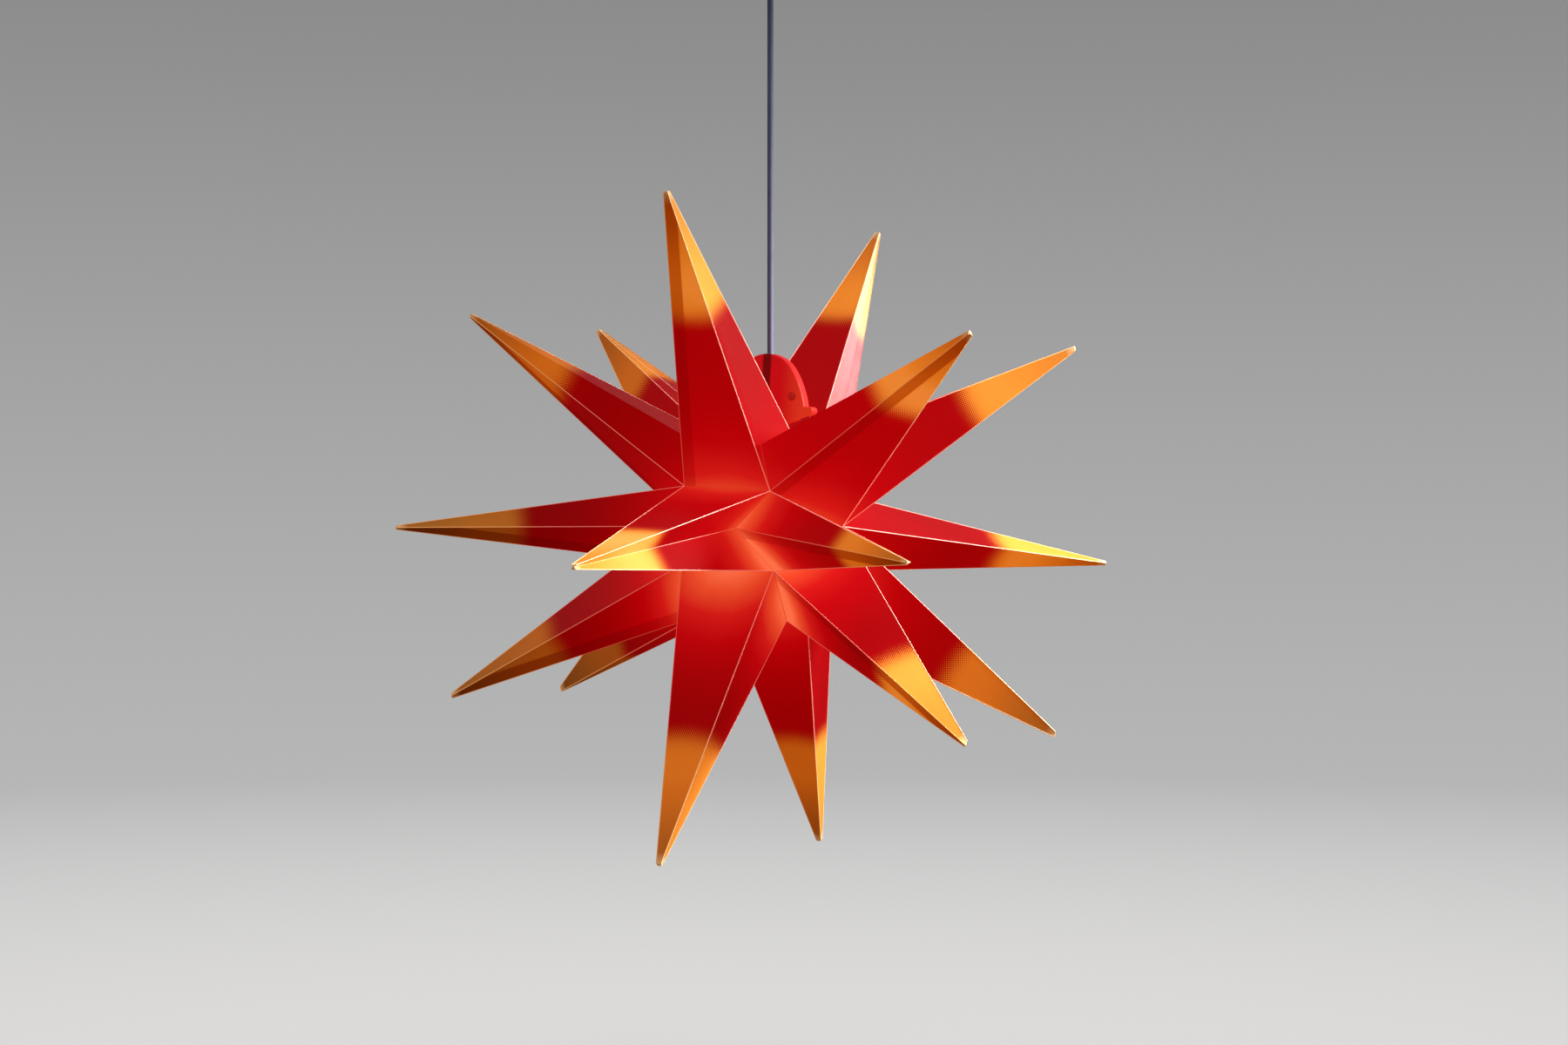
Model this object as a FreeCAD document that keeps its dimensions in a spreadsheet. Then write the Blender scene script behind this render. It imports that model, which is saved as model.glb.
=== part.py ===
import FreeCAD, Part
import math
import os
import re
import Sketcher

# A folded film star with eighteen points, lit from inside, that hangs on a straight mains cord
# from a small ceiling rose. The origin is on the ceiling, in the middle of the rose, with Z up.
# The star's own pieces are drawn upright about the star's centre and then leaned as it hangs.

os.makedirs("parts", exist_ok=True)
doc = FreeCAD.newDocument("pendant_star")
Vector = FreeCAD.Vector
X_AXIS = Vector(1, 0, 0)
Y_AXIS = Vector(0, 1, 0)
Z_AXIS = Vector(0, 0, 1)

# Driving dimensions, in millimetres and degrees
SIZES = {
    # Film, and the glued flap along one ridge of each point
    "film": 0.5,
    "flap_width": 10.0,
    "flap_start": 9.0,
    "tip_flat": 4.0,
    "tip_weld": 9.0,
    # Tips of the points, from the star's centre
    "upper_front_out": 177.0,
    "upper_front_rise": 241.0,
    "upper_side_across": 210.0,
    "upper_side_out": 98.0,
    "upper_side_rise": 151.0,
    "middle_front_out": 279.0,
    "middle_front_drop": 30.0,
    "middle_side_across": 211.0,
    "middle_side_out": 184.0,
    "middle_side_drop": 13.5,
    "lower_front_out": 132.0,
    "lower_front_drop": 249.0,
    "lower_side_across": 218.0,
    "lower_side_out": 83.0,
    "lower_side_drop": 144.0,
    # Corners of the body, where the points' bases meet
    "ring_across": 36.7,
    "ring_out": 58.9,
    "ring_rise": 29.3,
    "gusset_across": 14.5,
    "gusset_out": 69.3,
    "waist_across": 39.2,
    "waist_out": 50.7,
    "waist_drop": 30.4,
    "seam_across": 69.9,
    "seam_rise": 5.2,
    "shoulder_across": 28.5,
    "shoulder_out": 62.5,
    "shoulder_rise": 63.6,
    "slot_across": 34.8,
    "slot_out": 17.3,
    "slot_rise": 67.4,
    "slot_end_across": 45.8,
    "foot_across": 35.6,
    "foot_out": 17.5,
    "foot_drop": 68.5,
    "foot_end_across": 46.4,
    # Hanging: the holder's top below the ceiling, and how the star leans on its cord
    "hang_depth": 345.0,
    "lean_angle": 3.2,
    "lean_bearing": 27.5,
    "cord_diameter": 4.7,
    "cord_clearance": 0.15,
    "core_diameter": 2.0,
    "core_gap": 0.4,
    "core_length": 9.0,
    # Holder: two moulded halves that clamp the cord, the hanging tabs and the lampholder
    "holder_top": 134.0,
    "dome_crown_half": 21.0,
    "dome_crown_drop": 10.5,
    "dome_crown_radius": 26.3,
    "dome_side_half": 33.6,
    "dome_side_drop": 39.3,
    "dome_side_radius": 74.0,
    "half_thickness": 5.0,
    "edge_round": 1.6,
    "lobe_across": 38.6,
    "lobe_half": 3.0,
    "lobe_round": 3.1,
    "stem_half": 15.0,
    "stem_shoulder_drop": 54.0,
    "collar_top_drop": 68.0,
    "collar_depth": 11.0,
    "collar_plate": 3.0,
    "collar_radius": 15.2,
    "mouth_depth": 3.0,
    "mouth_radius": 3.8,
    "holder_screw_across": 21.9,
    "holder_screw_drop": 32.0,
    "holder_screw_shank": 3.0,
    "holder_screw_head": 6.6,
    "holder_screw_head_depth": 1.4,
    "holder_screw_recess": 8.4,
    "holder_screw_sink": 2.2,
    "holder_screw_length": 6.8,
    "screw_clearance": 0.1,
    # Hanging tabs: strips welded into the side seams, hooked on the holder's pins
    "tab_thickness": 0.5,
    "tab_flange": 8.0,
    "tab_pin_across": 29.0,
    "tab_pin_drop": 40.0,
    "tab_pin_diameter": 3.2,
    "tab_pin_length": 3.0,
    "tab_ear_half": 4.5,
    "tab_ear_round": 4.6,
    "tab_hole_clearance": 0.1,
    "tab_pocket_clearance": 0.1,
    # Lampholder for a small Edison screw lamp
    "neck_radius": 11.0,
    "neck_clearance": 0.1,
    "cap_radius": 14.5,
    "cap_length": 16.0,
    "barrel_radius": 14.0,
    "barrel_wall": 1.8,
    "barrel_lip": 1.2,
    "sleeve_radius": 7.6,
    "sleeve_wall": 0.5,
    "sleeve_length": 16.0,
    "insert_thickness": 14.0,
    "contact_radius": 3.2,
    "contact_height": 2.6,
    # LED lamp
    "screw_cap_radius": 6.9,
    "screw_cap_length": 19.0,
    "screw_cap_gap": 1.5,
    "lamp_tip_radius": 2.6,
    "lamp_tip_height": 1.4,
    "lamp_body_top_radius": 9.0,
    "lamp_body_radius": 19.0,
    "lamp_body_length": 21.0,
    "globe_radius": 22.5,
    "globe_length": 36.0,
    "globe_wall": 1.0,
    "board_radius": 15.0,
    "board_thickness": 1.6,
    "chip_side": 3.5,
    "chip_height": 0.8,
    "chip_circle": 10.0,
    # Ceiling rose
    "bracket_thickness": 1.5,
    "bracket_width": 20.0,
    "bracket_flange": 14.0,
    "bracket_corner": 2.5,
    "fixing_spacing": 52.0,
    "fixing_diameter": 5.0,
    "cup_radius": 45.0,
    "cup_height": 46.0,
    "cup_wall": 0.8,
    "cup_round": 7.0,
    "cup_screw_drop": 8.0,
    "cup_screw_diameter": 3.0,
    "cup_screw_head": 6.0,
    "cup_screw_head_height": 2.2,
    "cup_screw_reach": 4.0,
    "block_across": 22.0,
    "block_out": 15.0,
    "block_rise": 17.0,
    "block_pole_across": 5.2,
    "block_entry": 4.0,
    "terminal_screw_diameter": 3.6,
    "terminal_screw_length": 4.0,
    "terminal_screw_proud": 0.8,
    "terminal_screw_inset": 4.2,
    "grip_flange_radius": 9.5,
    "grip_length": 22.0,
    "grip_straight": 12.0,
    "grip_end_radius": 7.0,
    "grip_thread_radius": 5.0,
    "grip_thread_length": 9.0,
    "grip_flare_depth": 6.0,
    "grip_flare_radius": 5.6,
    "grip_nut_across_flats": 14.0,
    "grip_nut_height": 4.0,
    "grip_screw_diameter": 3.0,
    "grip_screw_head": 4.6,
    "grip_screw_head_height": 1.6,
    "grip_screw_drop": 9.0,
    # One overrun serves all cuts
    "overrun": 1.0,
}
SCREW_SIDES = 6
CHIP_COUNT = 6

sheet = doc.addObject("Spreadsheet::Sheet", "sizes")
for row, (alias, value) in enumerate(SIZES.items(), start=1):
    sheet.set("A%d" % row, alias)
    sheet.set("B%d" % row, str(value))
    sheet.setAlias("B%d" % row, alias)
doc.recompute()


def bound(text):
    """The expression text with each size's name pointing at the sheet."""
    return re.sub(r"[a-z]+(?:_[a-z]+)*", lambda word: "sizes." + word.group(0)
                  if word.group(0) in SIZES else word.group(0), text)


def size(text):
    """The number that an expression in named sizes comes to."""
    return float(sheet.evalExpression(bound(text)))


def tie(thing, **expressions):
    for prop, text in expressions.items():
        thing.setExpression(prop, bound(text))


# Sketches and bodies
def new_body(name):
    body = doc.addObject("PartDesign::Body", name)
    body.Label = name
    return body


def new_sketch(body, role, name):
    plane = [each for each in body.Origin.OriginFeatures if each.Role == role][0]
    sketch = body.newObject("Sketcher::SketchObject", name)
    sketch.AttachmentSupport = (plane, [""])
    sketch.MapMode = "FlatFace"
    return sketch


def pin_down(sketch, geometry, corner, x_text, y_text):
    """Hold one corner at x, y, each written in named sizes, or on an axis where it is 0."""
    for text, kind, axis in ((x_text, "DistanceX", -2), (y_text, "DistanceY", -1)):
        if text == "0":
            sketch.addConstraint(Sketcher.Constraint("PointOnObject", geometry, corner, axis))
        else:
            index = sketch.addConstraint(
                Sketcher.Constraint(kind, -1, 1, geometry, corner, size(text)))
            sketch.setExpression("Constraints[%d]" % index, bound(text))


def outline(sketch, corners):
    """A closed outline. A corner is (x, y), or (x, y, radius, side) where an arc starts."""
    places = [Vector(size(each[0]), size(each[1]), 0) for each in corners]
    ends = []
    for index, corner in enumerate(corners):
        start, end = places[index], places[(index + 1) % len(places)]
        if len(corner) == 2:
            geometry = sketch.addGeometry(Part.LineSegment(start, end), False)
            ends.append((geometry, 1, 2))
            continue
        radius, side = size(corner[2]), corner[3]
        chord = end - start
        sagitta = radius - math.sqrt(radius ** 2 - chord.Length ** 2 / 4)
        left = Vector(-chord.y, chord.x, 0).normalize()
        crest = (start + end) / 2 + left * (sagitta * side)
        # A sketch's arcs run anticlockwise, so one that bulges left is drawn from its end
        first, last = (end, start) if side > 0 else (start, end)
        geometry = sketch.addGeometry(Part.Arc(first, crest, last), False)
        ends.append((geometry, 2, 1) if side > 0 else (geometry, 1, 2))
        index_radius = sketch.addConstraint(Sketcher.Constraint("Radius", geometry, radius))
        sketch.setExpression("Constraints[%d]" % index_radius, bound(corner[2]))
    for index, corner in enumerate(corners):
        geometry, first, last = ends[index]
        pin_down(sketch, geometry, first, corner[0], corner[1])
        following, follow_first, _ = ends[(index + 1) % len(ends)]
        sketch.addConstraint(
            Sketcher.Constraint("Coincident", geometry, last, following, follow_first))


def circle(sketch, x_text, y_text, diameter_text):
    centre = Vector(size(x_text), size(y_text), 0)
    geometry = sketch.addGeometry(Part.Circle(centre, Z_AXIS, size(diameter_text) / 2), False)
    pin_down(sketch, geometry, 3, x_text, y_text)
    index = sketch.addConstraint(
        Sketcher.Constraint("Diameter", geometry, size(diameter_text)))
    sketch.setExpression("Constraints[%d]" % index, bound(diameter_text))


def rectangle(sketch, left, right, low, high):
    outline(sketch, [(left, low), (right, low), (right, high), (left, high)])


def feature(body, kind, sketch, name, **expressions):
    made = body.newObject("PartDesign::" + kind, name)
    made.Profile = sketch
    tie(made, **expressions)
    sketch.Visibility = False
    return made


def turned(body, kind, sketch, name, angle=360.0, backwards=False):
    made = feature(body, kind, sketch, name)
    made.ReferenceAxis = (sketch, ["V_Axis"])
    made.Angle = angle
    made.Reversed = backwards
    return made


def turned_body(name, corners):
    """A body of revolution about its own Z axis, from a half section in the XZ plane."""
    body = new_body(name)
    sketch = new_sketch(body, "XZ_Plane", name + "_section")
    outline(sketch, corners)
    turned(body, "Revolution", sketch, name + "_turned")
    return body


def edges_where(shape, test):
    return ["Edge%d" % number for number, edge in enumerate(shape.Edges, start=1) if test(edge)]


def rounded(body, name, test, radius_text):
    doc.recompute()
    base = body.Tip
    made = body.newObject("PartDesign::Fillet", name)
    made.Base = (base, edges_where(base.Shape, test))
    tie(made, Radius=radius_text)
    return made


# The star hangs leaning: a turn about the horizontal line that lies along the lean's bearing,
# with the pivot on the cord's line in the holder's mouth.
bearing = math.radians(size("lean_bearing"))
lean_axis = Vector(-math.sin(bearing), math.cos(bearing), 0)
lean = FreeCAD.Rotation(lean_axis, size("lean_angle"))
pivot = Vector(0, 0, -size("hang_depth + mouth_depth"))
pivot_in_star = Vector(0, 0, size("holder_top - mouth_depth"))
STAR_PLACE = FreeCAD.Placement(pivot - lean.multVec(pivot_in_star), lean)
CEILING_PLACE = FreeCAD.Placement()
finished = []


def finish(thing, name, place):
    thing.Label = name
    thing.Placement = place.multiply(thing.Placement)
    finished.append(thing)


# Star: corners of the body, from its centre, on the front right quarter
CORNERS = {
    "ring": ("ring_across", "-ring_out", "ring_rise"),
    "gusset": ("gusset_across", "-gusset_out", "0"),
    "waist": ("waist_across", "-waist_out", "-waist_drop"),
    "seam": ("seam_across", "0", "seam_rise"),
    "shoulder": ("shoulder_across", "-shoulder_out", "shoulder_rise"),
    "slot": ("slot_across", "-slot_out", "slot_rise"),
    "slot_end": ("slot_end_across", "0", "slot_rise"),
    "foot": ("foot_across", "-foot_out", "-foot_drop"),
    "foot_end": ("foot_end_across", "0", "-foot_drop"),
}
# Points: tip, then the corners round the base. A minus sign before a corner takes the one on
# the left. The flap lies on the face that starts at the corner with the flap's number.
FRONT_POINTS = {
    "upper": (("0", "-upper_front_out", "upper_front_rise"),
              ("-ring", "ring", "shoulder", "slot", "-slot", "-shoulder"), 0),
    "middle": (("0", "-middle_front_out", "-middle_front_drop"),
               ("-ring", "-gusset", "-waist", "waist", "gusset", "ring"), 2),
    "lower": (("0", "-lower_front_out", "-lower_front_drop"),
              ("-waist", "-foot", "foot", "waist"), 0),
}
SIDE_POINTS = {
    "upper": (("upper_side_across", "-upper_side_out", "upper_side_rise"),
              ("ring", "seam", "slot_end", "slot", "shoulder"), 0),
    "middle": (("middle_side_across", "-middle_side_out", "-middle_side_drop"),
               ("ring", "gusset", "waist", "seam"), 1),
    "lower": (("lower_side_across", "-lower_side_out", "-lower_side_drop"),
              ("waist", "foot", "foot_end", "seam"), 0),
}


def star_corner(name, mirror_x, mirror_y):
    left = name.startswith("-")
    x, y, z = [size(text) for text in CORNERS[name.lstrip("-")]]
    return Vector((-x if left else x) * mirror_x, y * mirror_y, z)


def flat_face(points):
    return Part.Face(Part.makePolygon(points + points[:1]))


def closed_solid(faces):
    solid = Part.Solid(Part.Shell(faces))
    if solid.Volume < 0:
        solid.reverse()
    return solid


def folded_point(tip_text, corner_names, flap_at, mirror_x, mirror_y):
    """One hollow point: film folded along the lines from the tip to the base's corners, blunt
    and welded at the tip, mitred to its neighbours along planes through the star's centre."""
    centre = Vector(0, 0, 0)
    film = size("film")
    base = [star_corner(name, mirror_x, mirror_y) for name in corner_names]
    blunt = Vector(size(tip_text[0]) * mirror_x, size(tip_text[1]) * mirror_y, size(tip_text[2]))
    middle = sum(base, Vector()) / len(base)
    shrink = size("tip_flat / (2 * ring_across)")
    apex = middle + (blunt - middle) / (1 - shrink)
    axis = (apex - middle).normalize()
    count = len(base)
    tops = [corner + (apex - corner) * (1 - shrink) for corner in base]
    outer_faces = [flat_face([base[i], base[(i + 1) % count], tops[(i + 1) % count], tops[i]])
                   for i in range(count)]
    outer_faces += [flat_face([centre, base[i], base[(i + 1) % count]]) for i in range(count)]
    top_faces = [flat_face([blunt, tops[i], tops[(i + 1) % count]]) for i in range(count)]
    outer = closed_solid(outer_faces + top_faces)

    # Each fold line moved inward by the film, square to both of its faces
    outward = []
    for i in range(count):
        normal = (base[i] - apex).cross(base[(i + 1) % count] - apex).normalize()
        outward.append(normal)
    if outward[0].dot(middle - base[0]) > 0:
        outward = [normal * -1 for normal in outward]
    folds = []
    for i in range(count):
        before, after = outward[i - 1], outward[i]
        start = apex - (before + after) * (film / (1 + before.dot(after)))
        folds.append((start, (base[i] - apex).normalize()))

    def on_level(fold, level):
        start, along = fold
        return start + along * ((level - (start - apex).dot(axis)) / along.dot(axis))

    high = (blunt - apex).dot(axis) - size("tip_weld")
    low = (centre - apex).dot(axis) - size("ring_out")
    high_ring = [on_level(fold, high) for fold in folds]
    low_ring = [on_level(fold, low) for fold in folds]
    inner_faces = [flat_face([low_ring[i], low_ring[(i + 1) % count],
                              high_ring[(i + 1) % count], high_ring[i]]) for i in range(count)]
    inner_faces += [flat_face(low_ring), flat_face(high_ring)]
    shell = outer.cut(closed_solid(inner_faces))

    # The glued flap, a second layer inside one face beside its first fold line
    start, along = folds[flap_at]
    normal = outward[flap_at]
    next_along = folds[(flap_at + 1) % count][1]
    spread = math.tan(along.getAngle(next_along))
    inward = (next_along - along * next_along.dot(along)).normalize()
    width = size("flap_width")
    reach = (base[flap_at] - apex).Length - size("flap_start")
    narrow = 2 * width / spread
    strip = [start + along * narrow, start + along * reach,
             start + along * reach + inward * width, start + along * narrow + inward * width]
    sunk = normal * (film / 2)
    strip = [corner + sunk for corner in strip]
    flap = flat_face(strip).extrude(normal * (-film - film / 2))
    return shell.fuse(flap.common(outer)).removeSplitter()


for tier in ("upper", "middle", "lower"):
    for depth, mirror_y in (("front", 1), ("back", -1)):
        shape = folded_point(*FRONT_POINTS[tier], 1, mirror_y)
        thing = doc.addObject("Part::Feature", "point_%s_%s" % (tier, depth))
        thing.Shape = shape
        finish(thing, thing.Name, STAR_PLACE)
        for side, mirror_x in (("left", -1), ("right", 1)):
            shape = folded_point(*SIDE_POINTS[tier], mirror_x, mirror_y)
            if tier == "upper":
                # The hanging tab lies in the seam between the front and the back point
                width, tall = size("seam_across + overrun"), size("slot_rise + overrun")
                seam = Part.makeBox(width, size("tab_thickness"), tall,
                                    Vector(0, -size("tab_thickness") / 2, 0))
                if mirror_x < 0:
                    seam.translate(Vector(-width, 0, 0))
                shape = shape.cut(seam)
            thing = doc.addObject("Part::Feature", "point_%s_%s_%s" % (tier, depth, side))
            thing.Shape = shape
            finish(thing, thing.Name, STAR_PLACE)


# Hanging tabs: a strip welded into each side seam, whose ear hooks on a pin in the holder
TAB_PIN = "holder_top - tab_pin_drop"


def tab_outline(sign, more):
    """The strip and its ear, in the plane between the halves, grown by the size named more."""
    ear_out = "%s(tab_pin_across + tab_ear_half + %s)" % (sign, more)
    ear_in = "%s(tab_pin_across - tab_ear_half - %s)" % (sign, more)
    bulge = -1 if sign else 1
    return [
        ("%s(slot_end_across + %s)" % (sign, more), "slot_rise"),
        (ear_out, TAB_PIN, "tab_ear_round + %s" % more, -bulge),
        (ear_in, TAB_PIN),
        ("%s(slot_end_across - tab_flange - %s)" % (sign, more), "slot_rise"),
    ]


for side, sign in (("left", "-"), ("right", "")):
    name = "hanging_tab_" + side
    tab = new_body(name)
    strip = new_sketch(tab, "XZ_Plane", name + "_outline")
    outline(strip, tab_outline(sign, "0") + [
        (sign + "(seam_across - tab_flange)", "seam_rise"), (sign + "seam_across", "seam_rise")])
    pad = feature(tab, "Pad", strip, name + "_strip", Length="tab_thickness")
    pad.Midplane = True
    hole = new_sketch(tab, "XZ_Plane", name + "_hole")
    circle(hole, sign + "tab_pin_across", TAB_PIN, "tab_pin_diameter + 2 * tab_hole_clearance")
    cut = feature(tab, "Pocket", hole, name + "_eye", Length="tab_thickness + 2 * overrun")
    cut.Midplane = True
    finish(tab, name, STAR_PLACE)

# Holder: front and back halves, split along the plane of the tabs
LOBE_TOP = "holder_top - dome_side_drop"
LOBE_BOTTOM = "holder_top - dome_side_drop - 2 * lobe_half"
SHOULDER = "holder_top - stem_shoulder_drop"
COLLAR_TOP = "holder_top - collar_top_drop"
COLLAR_FOOT = "holder_top - collar_top_drop - collar_depth"
CROWN = "holder_top - dome_crown_drop"
CHANNEL = "cord_diameter / 2 + cord_clearance"
SCREW_RISE = "holder_top - holder_screw_drop"
for half, backwards in (("front", False), ("back", True)):
    name = "holder_" + half
    body = new_body(name)
    sketch = new_sketch(body, "XZ_Plane", name + "_outline")
    outline(sketch, [
        ("-lobe_across", LOBE_TOP),
        ("-dome_side_half", LOBE_TOP, "dome_side_radius", 1),
        ("-dome_crown_half", CROWN, "dome_crown_radius", 1),
        ("dome_crown_half", CROWN, "dome_side_radius", 1),
        ("dome_side_half", LOBE_TOP),
        ("lobe_across", LOBE_TOP, "lobe_round", 1),
        ("lobe_across", LOBE_BOTTOM),
        ("stem_half", SHOULDER),
        ("stem_half", COLLAR_TOP),
        ("-stem_half", COLLAR_TOP),
        ("-stem_half", SHOULDER),
        ("-lobe_across", LOBE_BOTTOM, "lobe_round", 1)])
    plate = feature(body, "Pad", sketch, name + "_plate", Length="half_thickness")
    plate.Reversed = backwards
    outer_y = size("half_thickness") * (1 if backwards else -1)
    collar_level = size(COLLAR_TOP)
    rounded(body, name + "_round",
            lambda edge: all(abs(vertex.Y - outer_y) < size("film") for vertex in edge.Vertexes)
            and any(vertex.Z > collar_level + size("film") for vertex in edge.Vertexes),
            "edge_round")
    collar = new_sketch(body, "XZ_Plane", name + "_collar_section")
    collar_floor = COLLAR_TOP + " - collar_plate"
    collar_bore = "neck_radius + neck_clearance"
    outline(collar, [(CHANNEL, COLLAR_TOP), ("collar_radius", COLLAR_TOP),
                     ("collar_radius", COLLAR_FOOT), (collar_bore, COLLAR_FOOT),
                     (collar_bore, collar_floor), (CHANNEL, collar_floor)])
    turned(body, "Revolution", collar, name + "_collar", 180.0, not backwards)
    channel = new_sketch(body, "XZ_Plane", name + "_channel_section")
    outline(channel, [("0", collar_floor + " - overrun"), (CHANNEL, collar_floor + " - overrun"),
                      (CHANNEL, "holder_top - mouth_depth"), ("mouth_radius", "holder_top"),
                      ("mouth_radius", "holder_top + overrun"), ("0", "holder_top + overrun")])
    turned(body, "Groove", channel, name + "_channel")
    for side, sign in (("left", "-"), ("right", "")):
        where = (sign + "holder_screw_across", SCREW_RISE)
        shank = new_sketch(body, "XZ_Plane", "%s_shank_%s" % (name, side))
        circle(shank, where[0], where[1], "holder_screw_shank + 2 * screw_clearance")
        reach = "2 * (half_thickness + overrun)"
        if half == "back":
            reach = "2 * (holder_screw_length - half_thickness + holder_screw_sink + screw_clearance)"
        bore = feature(body, "Pocket", shank, "%s_bore_%s" % (name, side), Length=reach)
        bore.Midplane = True
        ear = new_sketch(body, "XZ_Plane", "%s_ear_%s" % (name, side))
        outline(ear, tab_outline(sign, "tab_pocket_clearance"))
        bed = feature(body, "Pocket", ear, "%s_bed_%s" % (name, side),
                      Length="tab_thickness + 2 * tab_pocket_clearance")
        bed.Midplane = True
        pin = new_sketch(body, "XZ_Plane", "%s_pin_%s" % (name, side))
        if half == "front":
            circle(pin, sign + "tab_pin_across", TAB_PIN,
                   "tab_pin_diameter + 2 * tab_hole_clearance")
            socket = feature(body, "Pocket", pin, "%s_socket_%s" % (name, side),
                             Length="2 * (tab_pin_length + tab_pocket_clearance)")
            socket.Midplane = True
            head = new_sketch(body, "XZ_Plane", "%s_head_%s" % (name, side))
            head.AttachmentOffset = FreeCAD.Placement(
                Vector(0, 0, size("half_thickness")), FreeCAD.Rotation())
            tie(head, **{"AttachmentOffset.Base.z": "half_thickness"})
            circle(head, where[0], where[1], "holder_screw_recess")
            feature(body, "Pocket", head, "%s_recess_%s" % (name, side), Length="holder_screw_sink")
        else:
            circle(pin, sign + "tab_pin_across", TAB_PIN, "tab_pin_diameter")
            feature(body, "Pad", pin, "%s_stud_%s" % (name, side), Length="tab_pin_length")
            root = new_sketch(body, "XZ_Plane", "%s_root_%s" % (name, side))
            circle(root, sign + "tab_pin_across", TAB_PIN, "tab_pin_diameter")
            stub = feature(body, "Pad", root, "%s_stub_%s" % (name, side),
                           Length="half_thickness / 2")
            stub.Reversed = True
    finish(body, name, STAR_PLACE)


# Round pieces built from cylinders
def rod(name, diameter_text, length_text, base, direction):
    made = doc.addObject("Part::Cylinder", name)
    tie(made, Radius="(%s) / 2" % diameter_text, Height=length_text)
    made.Placement = FreeCAD.Placement(base, FreeCAD.Rotation(Z_AXIS, direction))
    return made


def fused(name, pieces):
    made = doc.addObject("Part::MultiFuse", name)
    made.Shapes = pieces
    return made


def grouped(name, pieces, place):
    made = doc.addObject("Part::Compound", name)
    made.Links = pieces
    finish(made, name, place)


def headed_screw(name, seat, direction, shank, length, head, head_height):
    """A screw whose head's underside is at seat, with its shank along direction."""
    backward = direction * -1
    return fused(name, [rod(name + "_shank", shank, length, seat, direction),
                        rod(name + "_head", head, head_height, seat, backward)])


screws = []
for side, mirror in (("left", -1), ("right", 1)):
    seat = Vector(size("holder_screw_across") * mirror,
                  -size("half_thickness - holder_screw_sink"), size(SCREW_RISE))
    screws.append(headed_screw("holder_screw_" + side, seat, Y_AXIS, "holder_screw_shank",
                               "holder_screw_length", "holder_screw_head",
                               "holder_screw_head_depth"))
grouped("holder_screws", screws, STAR_PLACE)

# Lampholder, gripped by its neck in the holder's collar
NECK_TOP = collar_floor
CAP_TOP = COLLAR_FOOT
CAP_BOTTOM = CAP_TOP + " - cap_length"
INSERT_BOTTOM = CAP_BOTTOM + " - insert_thickness"
CONTACT_BOTTOM = INSERT_BOTTOM + " - contact_height"
SCREW_CAP_TOP = CONTACT_BOTTOM + " - lamp_tip_height"
SCREW_CAP_BOTTOM = SCREW_CAP_TOP + " - screw_cap_length"
BARREL_BOTTOM = SCREW_CAP_BOTTOM + " + screw_cap_gap"
BARREL_BORE = "barrel_radius - barrel_wall"
neck = turned_body("lampholder_cap", [
    (CHANNEL, NECK_TOP), ("neck_radius", NECK_TOP), ("neck_radius", CAP_TOP),
    ("cap_radius", CAP_TOP), ("cap_radius", CAP_BOTTOM), (BARREL_BORE, CAP_BOTTOM),
    (BARREL_BORE, CAP_TOP + " - barrel_wall"), (CHANNEL, CAP_TOP + " - barrel_wall")])
cap_radius = size("cap_radius")
rounded(neck, "lampholder_cap_round",
        lambda edge: abs(edge.Vertexes[0].Z - size(CAP_TOP)) < size("film")
        and abs(edge.Length - 2 * math.pi * cap_radius) < size("film"), "barrel_wall")
finish(neck, "lampholder_cap", STAR_PLACE)
barrel = turned_body("lampholder_barrel", [
    (BARREL_BORE, CAP_BOTTOM), ("barrel_radius", CAP_BOTTOM), ("barrel_radius", BARREL_BOTTOM),
    ("sleeve_radius + barrel_lip", BARREL_BOTTOM),
    ("sleeve_radius + barrel_lip", BARREL_BOTTOM + " + barrel_wall"),
    (BARREL_BORE, BARREL_BOTTOM + " + barrel_wall")])
finish(barrel, "lampholder_barrel", STAR_PLACE)
insert = turned_body("lampholder_insert", [
    ("0", CAP_BOTTOM), (BARREL_BORE, CAP_BOTTOM), (BARREL_BORE, INSERT_BOTTOM),
    ("0", INSERT_BOTTOM)])
finish(insert, "lampholder_insert", STAR_PLACE)
sleeve = turned_body("screw_sleeve", [
    ("sleeve_radius - sleeve_wall", INSERT_BOTTOM), ("sleeve_radius", INSERT_BOTTOM),
    ("sleeve_radius", INSERT_BOTTOM + " - sleeve_length"),
    ("sleeve_radius - sleeve_wall", INSERT_BOTTOM + " - sleeve_length")])
finish(sleeve, "screw_sleeve", STAR_PLACE)
contact = turned_body("centre_contact", [
    ("0", INSERT_BOTTOM), ("contact_radius", INSERT_BOTTOM), ("lamp_tip_radius", CONTACT_BOTTOM),
    ("0", CONTACT_BOTTOM)])
finish(contact, "centre_contact", STAR_PLACE)

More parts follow.
